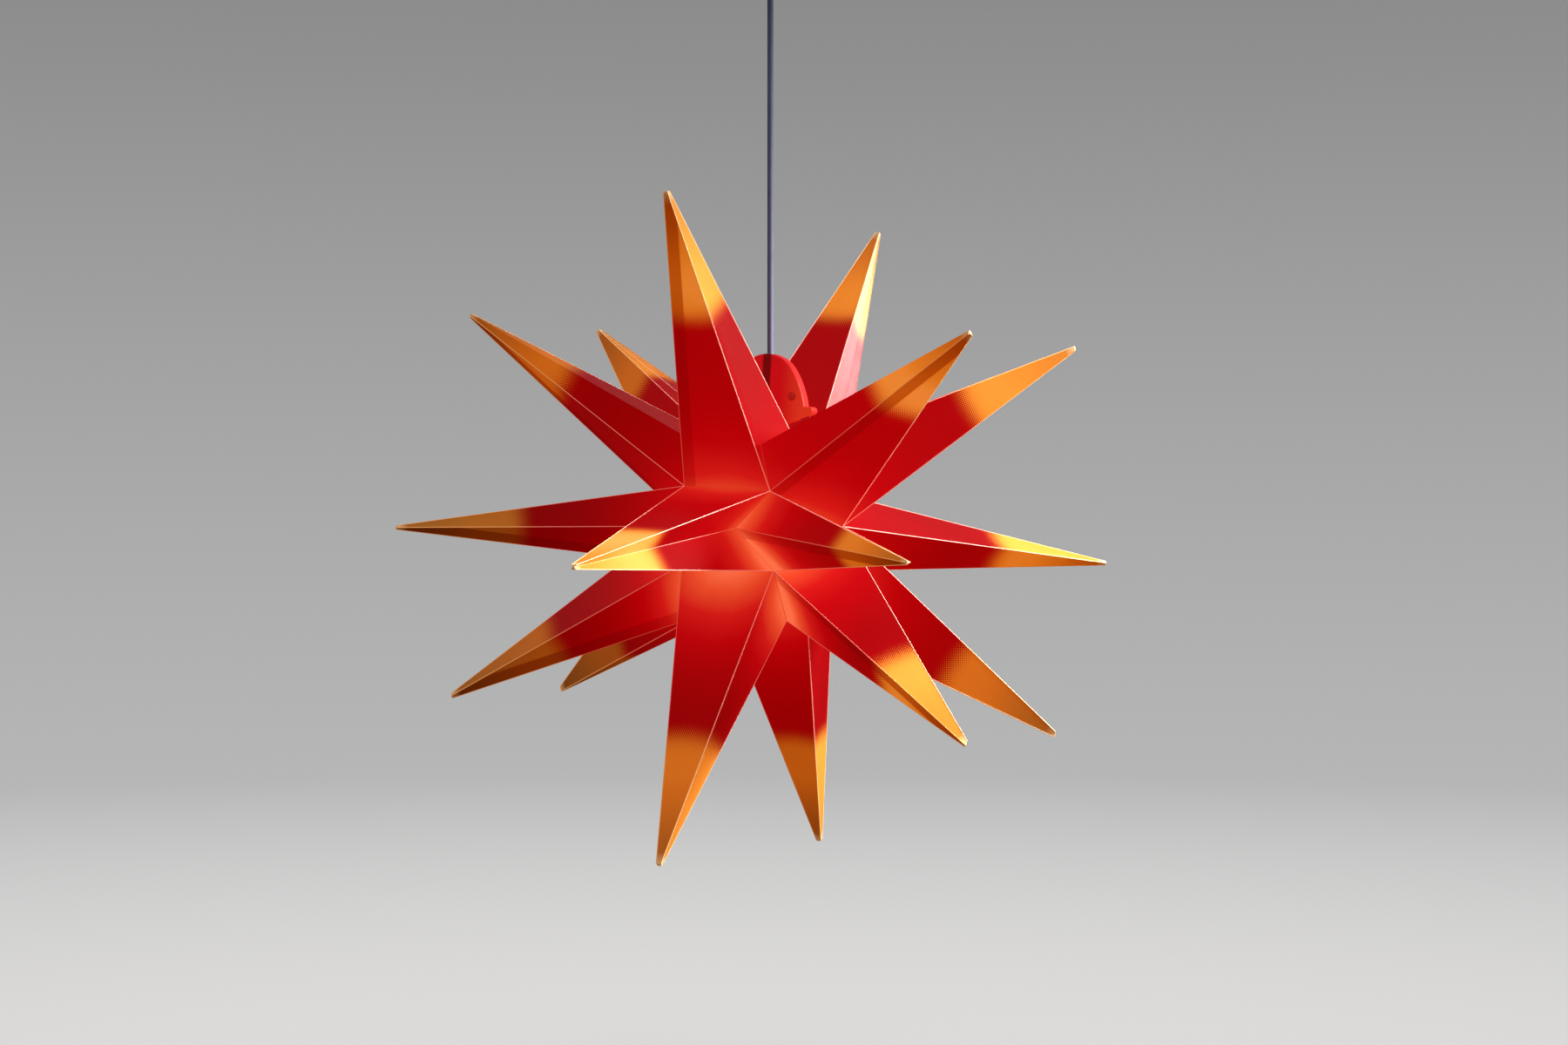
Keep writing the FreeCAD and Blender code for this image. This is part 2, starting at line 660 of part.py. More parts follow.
# LED lamp, screwed up into the sleeve
LAMP_BODY_BOTTOM = SCREW_CAP_BOTTOM + " - lamp_body_length"
GLOBE_BOTTOM = LAMP_BODY_BOTTOM + " - globe_length"
GLOBE_RIM = "sqrt(globe_radius ^ 2 - (globe_length - globe_radius) ^ 2)"
GLOBE_RIM_IN = "sqrt((globe_radius - globe_wall) ^ 2 - (globe_length - globe_radius) ^ 2)"
screw_cap = turned_body("lamp_screw_cap", [
    ("0", SCREW_CAP_TOP), ("lamp_tip_radius", SCREW_CAP_TOP),
    ("screw_cap_radius", SCREW_CAP_TOP + " - lamp_tip_radius"),
    ("screw_cap_radius", SCREW_CAP_BOTTOM), ("0", SCREW_CAP_BOTTOM)])
finish(screw_cap, "lamp_screw_cap", STAR_PLACE)
tip = turned_body("lamp_tip_contact", [
    ("0", CONTACT_BOTTOM), ("lamp_tip_radius - lamp_tip_height", CONTACT_BOTTOM),
    ("lamp_tip_radius", SCREW_CAP_TOP), ("0", SCREW_CAP_TOP)])
finish(tip, "lamp_tip_contact", STAR_PLACE)
lamp_body = turned_body("lamp_body", [
    ("0", SCREW_CAP_BOTTOM), ("lamp_body_top_radius", SCREW_CAP_BOTTOM, "3 * lamp_body_length", -1),
    ("lamp_body_radius", LAMP_BODY_BOTTOM), ("0", LAMP_BODY_BOTTOM)])
finish(lamp_body, "lamp_body", STAR_PLACE)
globe = turned_body("lamp_globe", [
    (GLOBE_RIM, LAMP_BODY_BOTTOM, "globe_radius", 1), ("0", GLOBE_BOTTOM),
    ("0", GLOBE_BOTTOM + " + globe_wall", "globe_radius - globe_wall", -1),
    (GLOBE_RIM_IN, LAMP_BODY_BOTTOM)])
finish(globe, "lamp_globe", STAR_PLACE)
board_base = Vector(0, 0, size(LAMP_BODY_BOTTOM + " - board_thickness"))
board = rod("led_board", "2 * board_radius", "board_thickness", board_base, Z_AXIS)
finish(board, "led_board", STAR_PLACE)
chips = []
for number in range(CHIP_COUNT):
    turn = FreeCAD.Rotation(Z_AXIS, number * 360 / CHIP_COUNT)
    chip = doc.addObject("Part::Box", "led_chip_%d" % (number + 1))
    tie(chip, Length="chip_side", Width="chip_side", Height="chip_height")
    corner = Vector(size("chip_circle - chip_side / 2"), -size("chip_side / 2"),
                    board_base.z - size("chip_height"))
    chip.Placement = FreeCAD.Placement(turn.multVec(corner), turn)
    chips.append(chip)
grouped("led_chips", chips, STAR_PLACE)

# Ceiling rose: a bracket across the ceiling, with a cup held to it by two side screws
BRACKET_HALF = ("sqrt((cup_radius - cup_wall) ^ 2 - (bracket_width / 2) ^ 2)"
                " - screw_clearance")
bracket = new_body("ceiling_bracket")
bar = new_sketch(bracket, "XZ_Plane", "bracket_section")
outline(bar, [
    ("-(%s)" % BRACKET_HALF, "-bracket_flange"), ("-(%s)" % BRACKET_HALF, "0"),
    (BRACKET_HALF, "0"), (BRACKET_HALF, "-bracket_flange"),
    (BRACKET_HALF + " - bracket_thickness", "-bracket_flange"),
    (BRACKET_HALF + " - bracket_thickness", "-bracket_thickness"),
    ("-(%s) + bracket_thickness" % BRACKET_HALF, "-bracket_thickness"),
    ("-(%s) + bracket_thickness" % BRACKET_HALF, "-bracket_flange")])
bar_pad = feature(bracket, "Pad", bar, "bracket_bar", Length="bracket_width")
bar_pad.Midplane = True
half_bar = size(BRACKET_HALF)
rounded(bracket, "bracket_bends",
        lambda edge: edge.BoundBox.ZMin > -size("film")
        and edge.BoundBox.XLength < size("film") and edge.BoundBox.XMax ** 2 > half_bar ** 2 / 2,
        "bracket_corner")
fixings = new_sketch(bracket, "XY_Plane", "bracket_fixings")
circle(fixings, "-fixing_spacing / 2", "0", "fixing_diameter")
circle(fixings, "fixing_spacing / 2", "0", "fixing_diameter")
fixing_cut = feature(bracket, "Pocket", fixings, "bracket_holes",
                     Length="2 * (bracket_thickness + overrun)")
fixing_cut.Midplane = True
ties = new_sketch(bracket, "YZ_Plane", "bracket_threads")
circle(ties, "0", "-cup_screw_drop", "cup_screw_diameter + 2 * screw_clearance")
tie_cut = feature(bracket, "Pocket", ties, "bracket_tapped", Length="2 * cup_radius")
tie_cut.Midplane = True
finish(bracket, "ceiling_bracket", CEILING_PLACE)

THREAD_HOLE = "grip_thread_radius + screw_clearance"
cup = turned_body("canopy_cup", [
    ("cup_radius - cup_wall", "0"), ("cup_radius", "0"), ("cup_radius", "-cup_height"),
    (THREAD_HOLE, "-cup_height"), (THREAD_HOLE, "-cup_height + cup_wall"),
    ("cup_radius - cup_wall", "-cup_height + cup_wall")])
for name, radius_text, level_text, round_text in (
        ("cup_outside_round", "cup_radius", "-cup_height", "cup_round"),
        ("cup_inside_round", "cup_radius - cup_wall", "-cup_height + cup_wall",
         "cup_round - cup_wall")):
    girth, level = 2 * math.pi * size(radius_text), size(level_text)
    rounded(cup, name, lambda edge: abs(edge.Length - girth) < size("film")
            and all(abs(vertex.Z - level) < size("film") / 2 for vertex in edge.Vertexes),
            round_text)
sides = new_sketch(cup, "YZ_Plane", "cup_side_holes")
circle(sides, "0", "-cup_screw_drop", "cup_screw_diameter + 2 * screw_clearance")
side_cut = feature(cup, "Pocket", sides, "cup_side_cut", Length="2 * (cup_radius + overrun)")
side_cut.Midplane = True
finish(cup, "canopy_cup", CEILING_PLACE)
screws = []
for side, outward in (("left", X_AXIS * -1), ("right", X_AXIS)):
    seat = outward * size("cup_radius") - Z_AXIS * size("cup_screw_drop")
    screws.append(headed_screw("cup_screw_" + side, seat, outward * -1, "cup_screw_diameter",
                               "cup_screw_reach", "cup_screw_head", "cup_screw_head_height"))
grouped("cup_screws", screws, CEILING_PLACE)

# Terminal block under the bracket, where the cord's two cores end
BLOCK_TOP = "-bracket_thickness"
BLOCK_BOTTOM = BLOCK_TOP + " - block_rise"
block = new_body("terminal_block")
block_sketch = new_sketch(block, "XZ_Plane", "block_outline")
rectangle(block_sketch, "-block_across / 2", "block_across / 2", BLOCK_BOTTOM, BLOCK_TOP)
block_pad = feature(block, "Pad", block_sketch, "block_solid", Length="block_out")
block_pad.Midplane = True
entries = new_sketch(block, "XY_Plane", "block_entries")
entries.AttachmentOffset = FreeCAD.Placement(Vector(0, 0, size(BLOCK_BOTTOM)),
                                             FreeCAD.Rotation())
tie(entries, **{"AttachmentOffset.Base.z": BLOCK_BOTTOM})
poles = (("left", "-block_pole_across"), ("right", "block_pole_across"))
for side, across in poles:
    circle(entries, across, "0", "core_diameter + 2 * cord_clearance")
entry_cut = feature(block, "Pocket", entries, "block_entry_cut", Length="2 * block_entry")
entry_cut.Midplane = True
fronts = new_sketch(block, "XZ_Plane", "block_screw_holes")
fronts.AttachmentOffset = FreeCAD.Placement(Vector(0, 0, size("block_out / 2")),
                                            FreeCAD.Rotation())
tie(fronts, **{"AttachmentOffset.Base.z": "block_out / 2"})
levels = (("upper", BLOCK_TOP + " - terminal_screw_inset"),
          ("lower", BLOCK_BOTTOM + " + terminal_screw_inset"))
screws = []
for side, across in poles:
    for tier, level in levels:
        circle(fronts, across, level, "terminal_screw_diameter + 2 * screw_clearance")
        start = Vector(size(across), -size("block_out / 2 + terminal_screw_proud"), size(level))
        screws.append(rod("terminal_screw_%s_%s" % (tier, side), "terminal_screw_diameter",
                          "terminal_screw_length", start, Y_AXIS))
feature(block, "Pocket", fronts, "block_screw_cut",
        Length="terminal_screw_length - terminal_screw_proud")
finish(block, "terminal_block", CEILING_PLACE)
grouped("terminal_screws", screws, CEILING_PLACE)

# Cord grip: screwed through the cup, with a nut inside and a flared mouth for the cord
GRIP_TOP = "-cup_height + grip_thread_length"
GRIP_END = "-cup_height - grip_length"
ROSE_PIVOT = GRIP_END + " + grip_flare_depth"
grip = turned_body("cord_grip", [
    (CHANNEL, GRIP_TOP), ("grip_thread_radius", GRIP_TOP), ("grip_thread_radius", "-cup_height"),
    ("grip_flange_radius", "-cup_height"), ("grip_flange_radius", "-cup_height - grip_straight"),
    ("grip_end_radius", GRIP_END), ("grip_flare_radius", GRIP_END), (CHANNEL, ROSE_PIVOT)])
grub = new_sketch(grip, "XZ_Plane", "grip_screw_hole")
GRUB_LEVEL = "-cup_height - grip_screw_drop"
circle(grub, "0", GRUB_LEVEL, "grip_screw_diameter + 2 * screw_clearance")
feature(grip, "Pocket", grub, "grip_screw_cut", Length="grip_flange_radius + overrun")
finish(grip, "cord_grip", CEILING_PLACE)
grub_seat = Vector(0, size("grip_flange_radius"), size(GRUB_LEVEL))
grip_screw = headed_screw("grip_screw", grub_seat, Y_AXIS * -1, "grip_screw_diameter",
                          "grip_flange_radius - cord_diameter / 2 - cord_clearance",
                          "grip_screw_head", "grip_screw_head_height")
finish(grip_screw, "grip_screw", CEILING_PLACE)
nut_blank = doc.addObject("Part::Prism", "grip_nut_blank")
nut_blank.Polygon = SCREW_SIDES
tie(nut_blank, Circumradius="grip_nut_across_flats / sqrt(3)", Height="grip_nut_height")
nut_hole = rod("grip_nut_hole", "2 * (%s)" % THREAD_HOLE, "grip_nut_height + 2 * overrun",
               Vector(0, 0, -size("overrun")), Z_AXIS)
nut = doc.addObject("Part::Cut", "grip_nut")
nut.Base, nut.Tool = nut_blank, nut_hole
finish(nut, "grip_nut", FreeCAD.Placement(Vector(0, 0, size("cup_wall - cup_height")),
                                          FreeCAD.Rotation()))


# Cord: a short run inside the rose, the straight drop, and a run inside the holder
def tube(points, diameter):
    """A round tube along straight runs joined by tangent arcs, each as large as they allow."""
    edges, start = [], points[0]
    for before, corner, after in zip(points, points[1:], points[2:]):
        back, on = (before - corner), (after - corner)
        shorter = min(back.Length, on.Length)
        turn = math.pi - back.getAngle(on)
        reach = TANGENT_SHARE * shorter
        radius = reach / math.tan(turn / 2)
        back.normalize()
        on.normalize()
        first, last = corner + back * reach, corner + on * reach
        inner = corner + (back + on).normalize() * (radius / math.cos(turn / 2) - radius)
        edges.append(Part.LineSegment(start, first).toShape())
        edges.append(Part.Arc(first, inner, last).toShape())
        print("bend radius %.1f" % radius)
        start = last
    edges.append(Part.LineSegment(start, points[-1]).toShape())
    path = Part.Wire(edges)
    section = Part.Wire(Part.Circle(points[0], points[1] - points[0], diameter / 2).toShape())
    solid = path.makePipeShell([section], True, False)
    expected = math.pi * diameter ** 2 / 4 * path.Length
    print("tube length %.1f, volume over section times length %.4f"
          % (path.Length, solid.Volume / expected))
    return solid


TANGENT_SHARE = 0.45
SHEATH_END = BLOCK_BOTTOM + " - core_length"
cores = doc.addObject("Part::Feature", "cord_cores")
core_tubes = []
for mirror in (-1, 1):
    inner_x = size("core_diameter + core_gap") / 2 * mirror
    outer_x = size("block_pole_across") * mirror
    low, high = size(SHEATH_END), size(BLOCK_BOTTOM)
    core_run = size("core_length") / 4
    core_tubes.append(tube([Vector(inner_x, 0, low), Vector(inner_x, 0, low + core_run),
                            Vector(outer_x, 0, high - core_run),
                            Vector(outer_x, 0, high + size("block_entry - cord_clearance"))],
                           size("core_diameter")))
cores.Shape = Part.Compound(core_tubes)
finish(cores, "cord_cores", CEILING_PLACE)
rose_run = rod("cord_in_rose", "cord_diameter",
               "(%s) - (%s) - cord_diameter / 2" % (SHEATH_END, ROSE_PIVOT),
               Vector(0, 0, size(ROSE_PIVOT + " + cord_diameter / 2")), Z_AXIS)
finish(rose_run, "cord_in_rose", CEILING_PLACE)


def ball_end(name, level_text):
    ball = doc.addObject("Part::Sphere", name)
    tie(ball, Radius="cord_diameter / 2")
    ball.Placement.Base = Vector(0, 0, size(level_text))
    return ball


STAR_PIVOT = "-hang_depth - mouth_depth"
drop = fused("cord_drop", [
    rod("cord_drop_run", "cord_diameter", "(%s) - (%s)" % (ROSE_PIVOT, STAR_PIVOT),
        Vector(0, 0, size(STAR_PIVOT)), Z_AXIS),
    ball_end("cord_drop_top", ROSE_PIVOT), ball_end("cord_drop_bottom", STAR_PIVOT)])
finish(drop, "cord_drop", CEILING_PLACE)
holder_run = rod("cord_in_holder", "cord_diameter",
                 "holder_top - mouth_depth - cord_diameter / 2 - (%s) + barrel_wall" % CAP_TOP,
                 Vector(0, 0, size(CAP_TOP + " - barrel_wall")), Z_AXIS)
finish(holder_run, "cord_in_holder", STAR_PLACE)

doc.recompute()
for thing in doc.Objects:
    if "Invalid" in thing.State or "Error" in thing.State:
        raise RuntimeError("%s is %s" % (thing.Name, thing.State))
for thing in finished:
    if thing.Shape.isNull() or not thing.Shape.isValid() or not thing.Shape.Solids:
        raise RuntimeError("%s has no valid solid" % thing.Label)
for thing in finished:
    thing.Shape.exportStep("parts/%s.step" % thing.Label)
    box = thing.Shape.BoundBox
    print("%-26s solids %d  volume %10.1f  z %7.1f to %7.1f" % (
        thing.Label, len(thing.Shape.Solids), thing.Shape.Volume, box.ZMin, box.ZMax))
print("%d nodes" % len(finished))
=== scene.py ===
import math
import bmesh
import bpy
from mathutils import Matrix, Vector


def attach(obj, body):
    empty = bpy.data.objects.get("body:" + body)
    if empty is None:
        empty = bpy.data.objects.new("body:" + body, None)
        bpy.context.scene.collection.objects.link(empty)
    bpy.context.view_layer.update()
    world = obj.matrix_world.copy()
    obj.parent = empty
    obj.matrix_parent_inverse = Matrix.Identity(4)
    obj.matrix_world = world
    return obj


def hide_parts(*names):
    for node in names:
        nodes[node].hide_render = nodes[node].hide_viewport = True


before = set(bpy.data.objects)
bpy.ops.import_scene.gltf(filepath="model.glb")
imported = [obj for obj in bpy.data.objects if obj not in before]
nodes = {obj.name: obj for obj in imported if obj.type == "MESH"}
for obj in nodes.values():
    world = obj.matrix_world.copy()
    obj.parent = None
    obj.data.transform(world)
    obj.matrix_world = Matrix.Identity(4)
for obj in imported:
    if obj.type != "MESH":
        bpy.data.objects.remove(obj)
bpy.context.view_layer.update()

# How the star hangs: it leans a few degrees on its cord. Its pieces are worked out upright,
# round the star's centre, and then leaned about the cord's end in the holder's mouth.
LEAN = math.radians(3.2)
LEAN_BEARING = math.radians(27.5)
LEAN_AXIS = Vector((-math.sin(LEAN_BEARING), math.cos(LEAN_BEARING), 0))
MOUTH = Vector((0, 0, -0.348))
MOUTH_IN_STAR = Vector((0, 0, 0.131))
HANG = (Matrix.Translation(MOUTH) @ Matrix.Rotation(LEAN, 4, LEAN_AXIS)
        @ Matrix.Translation(-MOUTH_IN_STAR))
star_centre = HANG @ Vector((0, 0, 0))

# Camera: a long lens level with the star, a little to the right of its front, as in the photo.
# The small shift puts the star's centre where the photo has it.
CAMERA_BEARING = math.radians(27.5)
CAMERA_RISE = math.radians(1.0)
CAMERA_AWAY = 2.671
toward_camera = Vector((math.sin(CAMERA_BEARING) * math.cos(CAMERA_RISE),
                        -math.cos(CAMERA_BEARING) * math.cos(CAMERA_RISE),
                        math.sin(CAMERA_RISE)))
camera_right = Vector((math.cos(CAMERA_BEARING), math.sin(CAMERA_BEARING), 0))
camera_up = toward_camera.cross(camera_right)


def facing(place, toward, upward):
    """A matrix that stands at place with its local Z along toward and its Y near upward."""
    z_axis = toward.normalized()
    x_axis = upward.cross(z_axis).normalized()
    y_axis = z_axis.cross(x_axis)
    turn = Matrix((x_axis, y_axis, z_axis)).transposed().to_4x4()
    return Matrix.Translation(place) @ turn


camera_data = bpy.data.cameras.new("camera")
camera_data.lens = 79.9
camera_data.sensor_width = 36.0
camera_data.shift_x = 0.0148
camera_data.shift_y = 0.0036
camera = bpy.data.objects.new("camera", camera_data)
camera.matrix_world = facing(star_centre + toward_camera * CAMERA_AWAY, toward_camera, camera_up)
bpy.context.scene.collection.objects.link(camera)
bpy.context.scene.camera = camera


# Studio: a pale floor that sweeps up all round, under a pale sky that darkens below the horizon.
# A soft lamp on the camera's right lights the star, two small ones rake one point from behind and
# a wide one hangs overhead. The floor has its own lamp and throws no light back on the star.
def link(made):
    bpy.context.scene.collection.objects.link(made)
    return made


def shader(name):
    """A new material and its Principled node."""
    material = bpy.data.materials.new(name)
    material.use_nodes = True
    return material, material.node_tree.nodes["Principled BSDF"]


FLOOR = -0.95
FLAT_RADIUS = 3.2
BEND_RADIUS = 1.6
WALL_TOP = 3.2
SWEEP_SIDES = 72
sweep_profile = [(FLAT_RADIUS + BEND_RADIUS * math.sin(turn),
                  FLOOR + BEND_RADIUS - BEND_RADIUS * math.cos(turn))
                 for turn in [math.radians(9 * step) for step in range(11)]]
sweep_profile.append((FLAT_RADIUS + BEND_RADIUS, WALL_TOP))
sweep_mesh = bmesh.new()
rings = [[sweep_mesh.verts.new((radius * math.cos(step * math.tau / SWEEP_SIDES),
                                radius * math.sin(step * math.tau / SWEEP_SIDES), height))
          for step in range(SWEEP_SIDES)] for radius, height in sweep_profile]
middle = sweep_mesh.verts.new((0, 0, FLOOR))
for step in range(SWEEP_SIDES):
    following = (step + 1) % SWEEP_SIDES
    sweep_mesh.faces.new((middle, rings[0][step], rings[0][following]))
    for inner, outer in zip(rings, rings[1:]):
        sweep_mesh.faces.new((inner[step], outer[step], outer[following], inner[following]))
sweep_data = bpy.data.meshes.new("studio_sweep")
sweep_mesh.to_mesh(sweep_data)
sweep_data.shade_smooth()
sweep = link(bpy.data.objects.new("studio_sweep", sweep_data))
sweep_paint, sweep_shader = shader("studio_sweep")
sweep_shader.inputs["Base Color"].default_value = (0.80, 0.79, 0.78, 1)
sweep_shader.inputs["Roughness"].default_value = 0.9
sweep_shader.inputs["Specular IOR Level"].default_value = 0.1
sweep_data.materials.append(sweep_paint)
sweep.visible_diffuse = False
sweep.visible_glossy = False
sweep.visible_shadow = False

world = bpy.data.worlds.new("studio_sky")
world.use_nodes = True
sky = world.node_tree.nodes["Background"]
sky.inputs["Color"].default_value = (0.93, 0.96, 1.0, 1)
heading = world.node_tree.nodes.new("ShaderNodeTexCoord")
height = world.node_tree.nodes.new("ShaderNodeSeparateXYZ")
above = world.node_tree.nodes.new("ShaderNodeMapRange")
for socket, value in (("From Min", -0.25), ("From Max", 0.15), ("To Min", 0.03),
                      ("To Max", 0.36)):
    above.inputs[socket].default_value = value
world.node_tree.links.new(heading.outputs["Generated"], height.inputs["Vector"])
world.node_tree.links.new(height.outputs["Z"], above.inputs["Value"])
world.node_tree.links.new(above.outputs["Result"], sky.inputs["Strength"])
bpy.context.scene.world = world
bpy.context.scene.view_settings.view_transform = "Standard"


def soft_lamp(name, away, size, power, colour, spread, target=Vector()):
    """A square soft lamp. Away and target, where it looks, are from the star's centre."""
    data = bpy.data.lights.new(name, "AREA")
    data.size = size
    data.energy = power
    data.color = colour
    data.spread = math.radians(spread)
    lamp = link(bpy.data.objects.new(name, data))
    lamp.matrix_world = facing(star_centre + away, away - target, Vector((0, 1, 0.2)))
    lamp.visible_camera = False
    return lamp


def aim_lamp(lamp, state, *things):
    """Let a lamp light only these things with INCLUDE, or all but them with EXCLUDE."""
    group = bpy.data.collections.new(lamp.name + "_group")
    for thing in things:
        group.objects.link(thing)
    for member in group.collection_objects:
        member.light_linking.link_state = state
    lamp.light_linking.receiver_collection = group


lamp_right = soft_lamp(
    "lamp_right", camera_right * 0.90 + camera_up * 0.36 + toward_camera * 0.14, 0.35, 5.0,
    (1.0, 0.97, 0.93), 62, camera_right * 0.05 - camera_up * 0.14 + toward_camera * 0.10)
lamp_behind = soft_lamp(
    "lamp_behind", camera_right * 0.98 + camera_up * 0.39 - toward_camera * 0.47, 0.20, 0.36,
    (1.0, 0.95, 0.97), 14, camera_right * 0.080 + camera_up * 0.115 - toward_camera * 0.10)
lamp_far = soft_lamp(
    "lamp_far", camera_right * 0.74 + camera_up * 0.26 - toward_camera * 0.98, 0.24, 0.085,
    (1.0, 0.96, 0.93), 14, camera_right * 0.076 + camera_up * 0.150 - toward_camera * 0.10)
lamp_above = soft_lamp("lamp_above", Vector((0.0, 0.0, 3.4)), 3.0, 6.5, (1.0, 0.99, 0.97), 160)
floor_lamp = soft_lamp("floor_lamp", Vector((0.0, 0.0, 3.4)), 3.6, 90.0, (1.0, 0.99, 0.97), 160)
aim_lamp(lamp_above, "EXCLUDE", sweep)
aim_lamp(floor_lamp, "INCLUDE", sweep)

# Cord: round two-core mains cord with a smooth grey-blue sheath, held taut by the star.
# It runs from the cord grip's mouth straight down into the holder's mouth.
CORD_DIAMETER = 0.0047
CORD_ROUTE = [(0, 0, -0.0598), (0, 0, -0.205), (0, 0, -0.3502)]


def noise(tree, scale, detail=2.0):
    """Noise over the piece, on its own coordinates in metres."""
    made = tree.nodes.new("ShaderNodeTexNoise")
    made.inputs["Scale"].default_value = scale
    made.inputs["Detail"].default_value = detail
    place = tree.nodes.new("ShaderNodeTexCoord")
    tree.links.new(place.outputs["Object"], made.inputs["Vector"])
    return made.outputs["Fac"]


def ramp(tree, value, stops):
    """A colour ramp over value, with (position, colour) stops."""
    made = tree.nodes.new("ShaderNodeValToRGB")
    while len(made.color_ramp.elements) < len(stops):
        made.color_ramp.elements.new(0.5)
    for element, (position, colour) in zip(made.color_ramp.elements, stops):
        element.position = position
        element.color = (*colour, 1)
    tree.links.new(value, made.inputs["Fac"])
    return made.outputs["Color"]


def stretch(tree, value, low, high):
    """Map value's 0 to 1 onto low to high."""
    made = tree.nodes.new("ShaderNodeMapRange")
    made.inputs["To Min"].default_value = low
    made.inputs["To Max"].default_value = high
    tree.links.new(value, made.inputs["Value"])
    return made.outputs["Result"]


def bump(tree, principled, height, distance):
    """Relief from a height of 0 to 1, as deep as distance in metres."""
    made = tree.nodes.new("ShaderNodeBump")
    made.inputs["Distance"].default_value = distance
    tree.links.new(height, made.inputs["Height"])
    tree.links.new(made.outputs["Normal"], principled.inputs["Normal"])


def finish_coat(name, dark, pale, grain, rough, relief, metal=0.0, specular=0.5):
    """A moulded, plated or painted finish: a slight change of shade, gloss and surface."""
    material, principled = shader(name)
    tree = material.node_tree
    shade = noise(tree, grain, 3.0)
    tree.links.new(ramp(tree, shade, [(0.3, dark), (0.7, pale)]), principled.inputs["Base Color"])
    wear = noise(tree, grain * 4, 4.0)
    tree.links.new(stretch(tree, wear, rough - 0.07, rough + 0.07), principled.inputs["Roughness"])
    bump(tree, principled, noise(tree, grain * 12, 3.0), relief)
    principled.inputs["Metallic"].default_value = metal
    principled.inputs["Specular IOR Level"].default_value = specular
    return material


cord_sheath = finish_coat("cord_sheath", (0.150, 0.165, 0.270), (0.175, 0.190, 0.310), 60.0,
                          0.50, 0.00004, specular=0.15)
cord_line = bpy.data.curves.new("cord", "CURVE")
cord_line.dimensions = "3D"
cord_spline = cord_line.splines.new("NURBS")
cord_spline.points.add(len(CORD_ROUTE) - 1)
for point, place in zip(cord_spline.points, CORD_ROUTE):
    point.co = (*place, 1)
cord_spline.order_u = 3
cord_spline.use_endpoint_u = True
cord_spline.resolution_u = 12
cord_line.bevel_depth = CORD_DIAMETER / 2
cord_line.bevel_resolution = 6
cord_line.use_fill_caps = True
cord_line.materials.append(cord_sheath)
cord = link(bpy.data.objects.new("cord", cord_line))
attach(cord, "cord")
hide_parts("cord_drop")


def coat(material, *names):
    """Give CAD nodes a finish in place of the one they came with."""
    for name in names:
        nodes[name].data.materials.clear()
        nodes[name].data.materials.append(material)


coat(cord_sheath, "cord_in_holder", "cord_in_rose")

# Film points: eighteen sharp points cut from sheets of translucent film, printed red with
# orange tips, folded along scored lines and closed by a glued flap, then welded together.
CORNERS = {
    "ring": (0.0367, -0.0589, 0.0293),
    "gusset": (0.0145, -0.0693, 0.0),
    "waist": (0.0392, -0.0507, -0.0304),
    "seam": (0.0699, 0.0, 0.0052),
    "shoulder": (0.0285, -0.0625, 0.0636),
    "slot": (0.0348, -0.0173, 0.0674),
    "slot_end": (0.0458, 0.0, 0.0674),
    "foot": (0.0356, -0.0175, -0.0685),
    "foot_end": (0.0464, 0.0, -0.0685),
}
# Each: the tip, the corners round the base, the corner that the flap's fold starts from, and
# how far from the tip the print turns from orange to red.
FRONT_POINTS = {
    "upper": ((0.0, -0.177, 0.241),
              ("-ring", "ring", "shoulder", "slot", "-slot", "-shoulder"), 0, 0.100),
    "middle": ((0.0, -0.279, -0.030),
               ("-ring", "-gusset", "-waist", "waist", "gusset", "ring"), 2, 0.098),
    "lower": ((0.0, -0.132, -0.249), ("-waist", "-foot", "foot", "waist"), 0, 0.098),
}
SIDE_POINTS = {
    "upper": ((0.210, -0.098, 0.151), ("ring", "seam", "slot_end", "slot", "shoulder"), 0, 0.092),
    "middle": ((0.211, -0.184, -0.0135), ("ring", "gusset", "waist", "seam"), 1, 0.092),
    "lower": ((0.218, -0.083, -0.144), ("waist", "foot", "foot_end", "seam"), 0, 0.093),
}
FILM = 0.0005
FOLD_SUNK = 0.0002
TIP_FLAT = 0.004
CROWN_SHARE = 0.72
CROWN_RISE = 0.0005
PEAK_RISE = 0.0007
FLAP_WIDTH = 0.010
FLAP_SUNK = FILM * 1.1
FLAP_FROM_FOLD = 0.0006
FLAP_FROM_NEXT_FOLD = 0.0012
FLAP_LEAST = 0.001
PRINT_FADE = 0.023
ROWS = 28
COLUMNS = 6


def placed_corner(name, mirror_x, mirror_y):
    x, y, z = CORNERS[name.lstrip("-")]
    left = -1 if name.startswith("-") else 1
    return Vector((x * left * mirror_x, y * mirror_y, z))


# How brightly the film of each point glows at its tip, at its middle, and near the body. The glow
# is painted light that stands in for the lamp inside shining through the film. The points that face
# the right-hand lamp get painted light from it too, and the low left ones get painted shade.
POINT_GLOW = {
    "upper_front": (0.42, 0.35, 1.15), "upper_front_left": (0.30, 0.23, 0.90),
    "upper_front_right": (0.44, 0.38, 0.75), "upper_back": (0.38, 0.31, 0.60),
    "upper_back_left": (0.26, 0.27, 0.80), "upper_back_right": (0.38, 0.33, 0.90),
    "middle_front": (0.54, 0.31, 1.20), "middle_front_left": (0.15, 0.15, 1.30),
    "middle_front_right": (0.32, 0.28, 1.60), "middle_back": (0.28, 0.28, 1.00),
    "middle_back_left": (0.20, 0.22, 1.00), "middle_back_right": (0.40, 0.28, 0.60),
    "lower_front": (0.30, 0.21, 0.90), "lower_front_left": (0.18, 0.18, 1.10),
    "lower_front_right": (0.40, 0.23, 1.15), "lower_back": (0.28, 0.27, 0.35),
    "lower_back_left": (0.16, 0.17, 0.90), "lower_back_right": (0.29, 0.28, 1.10),
}


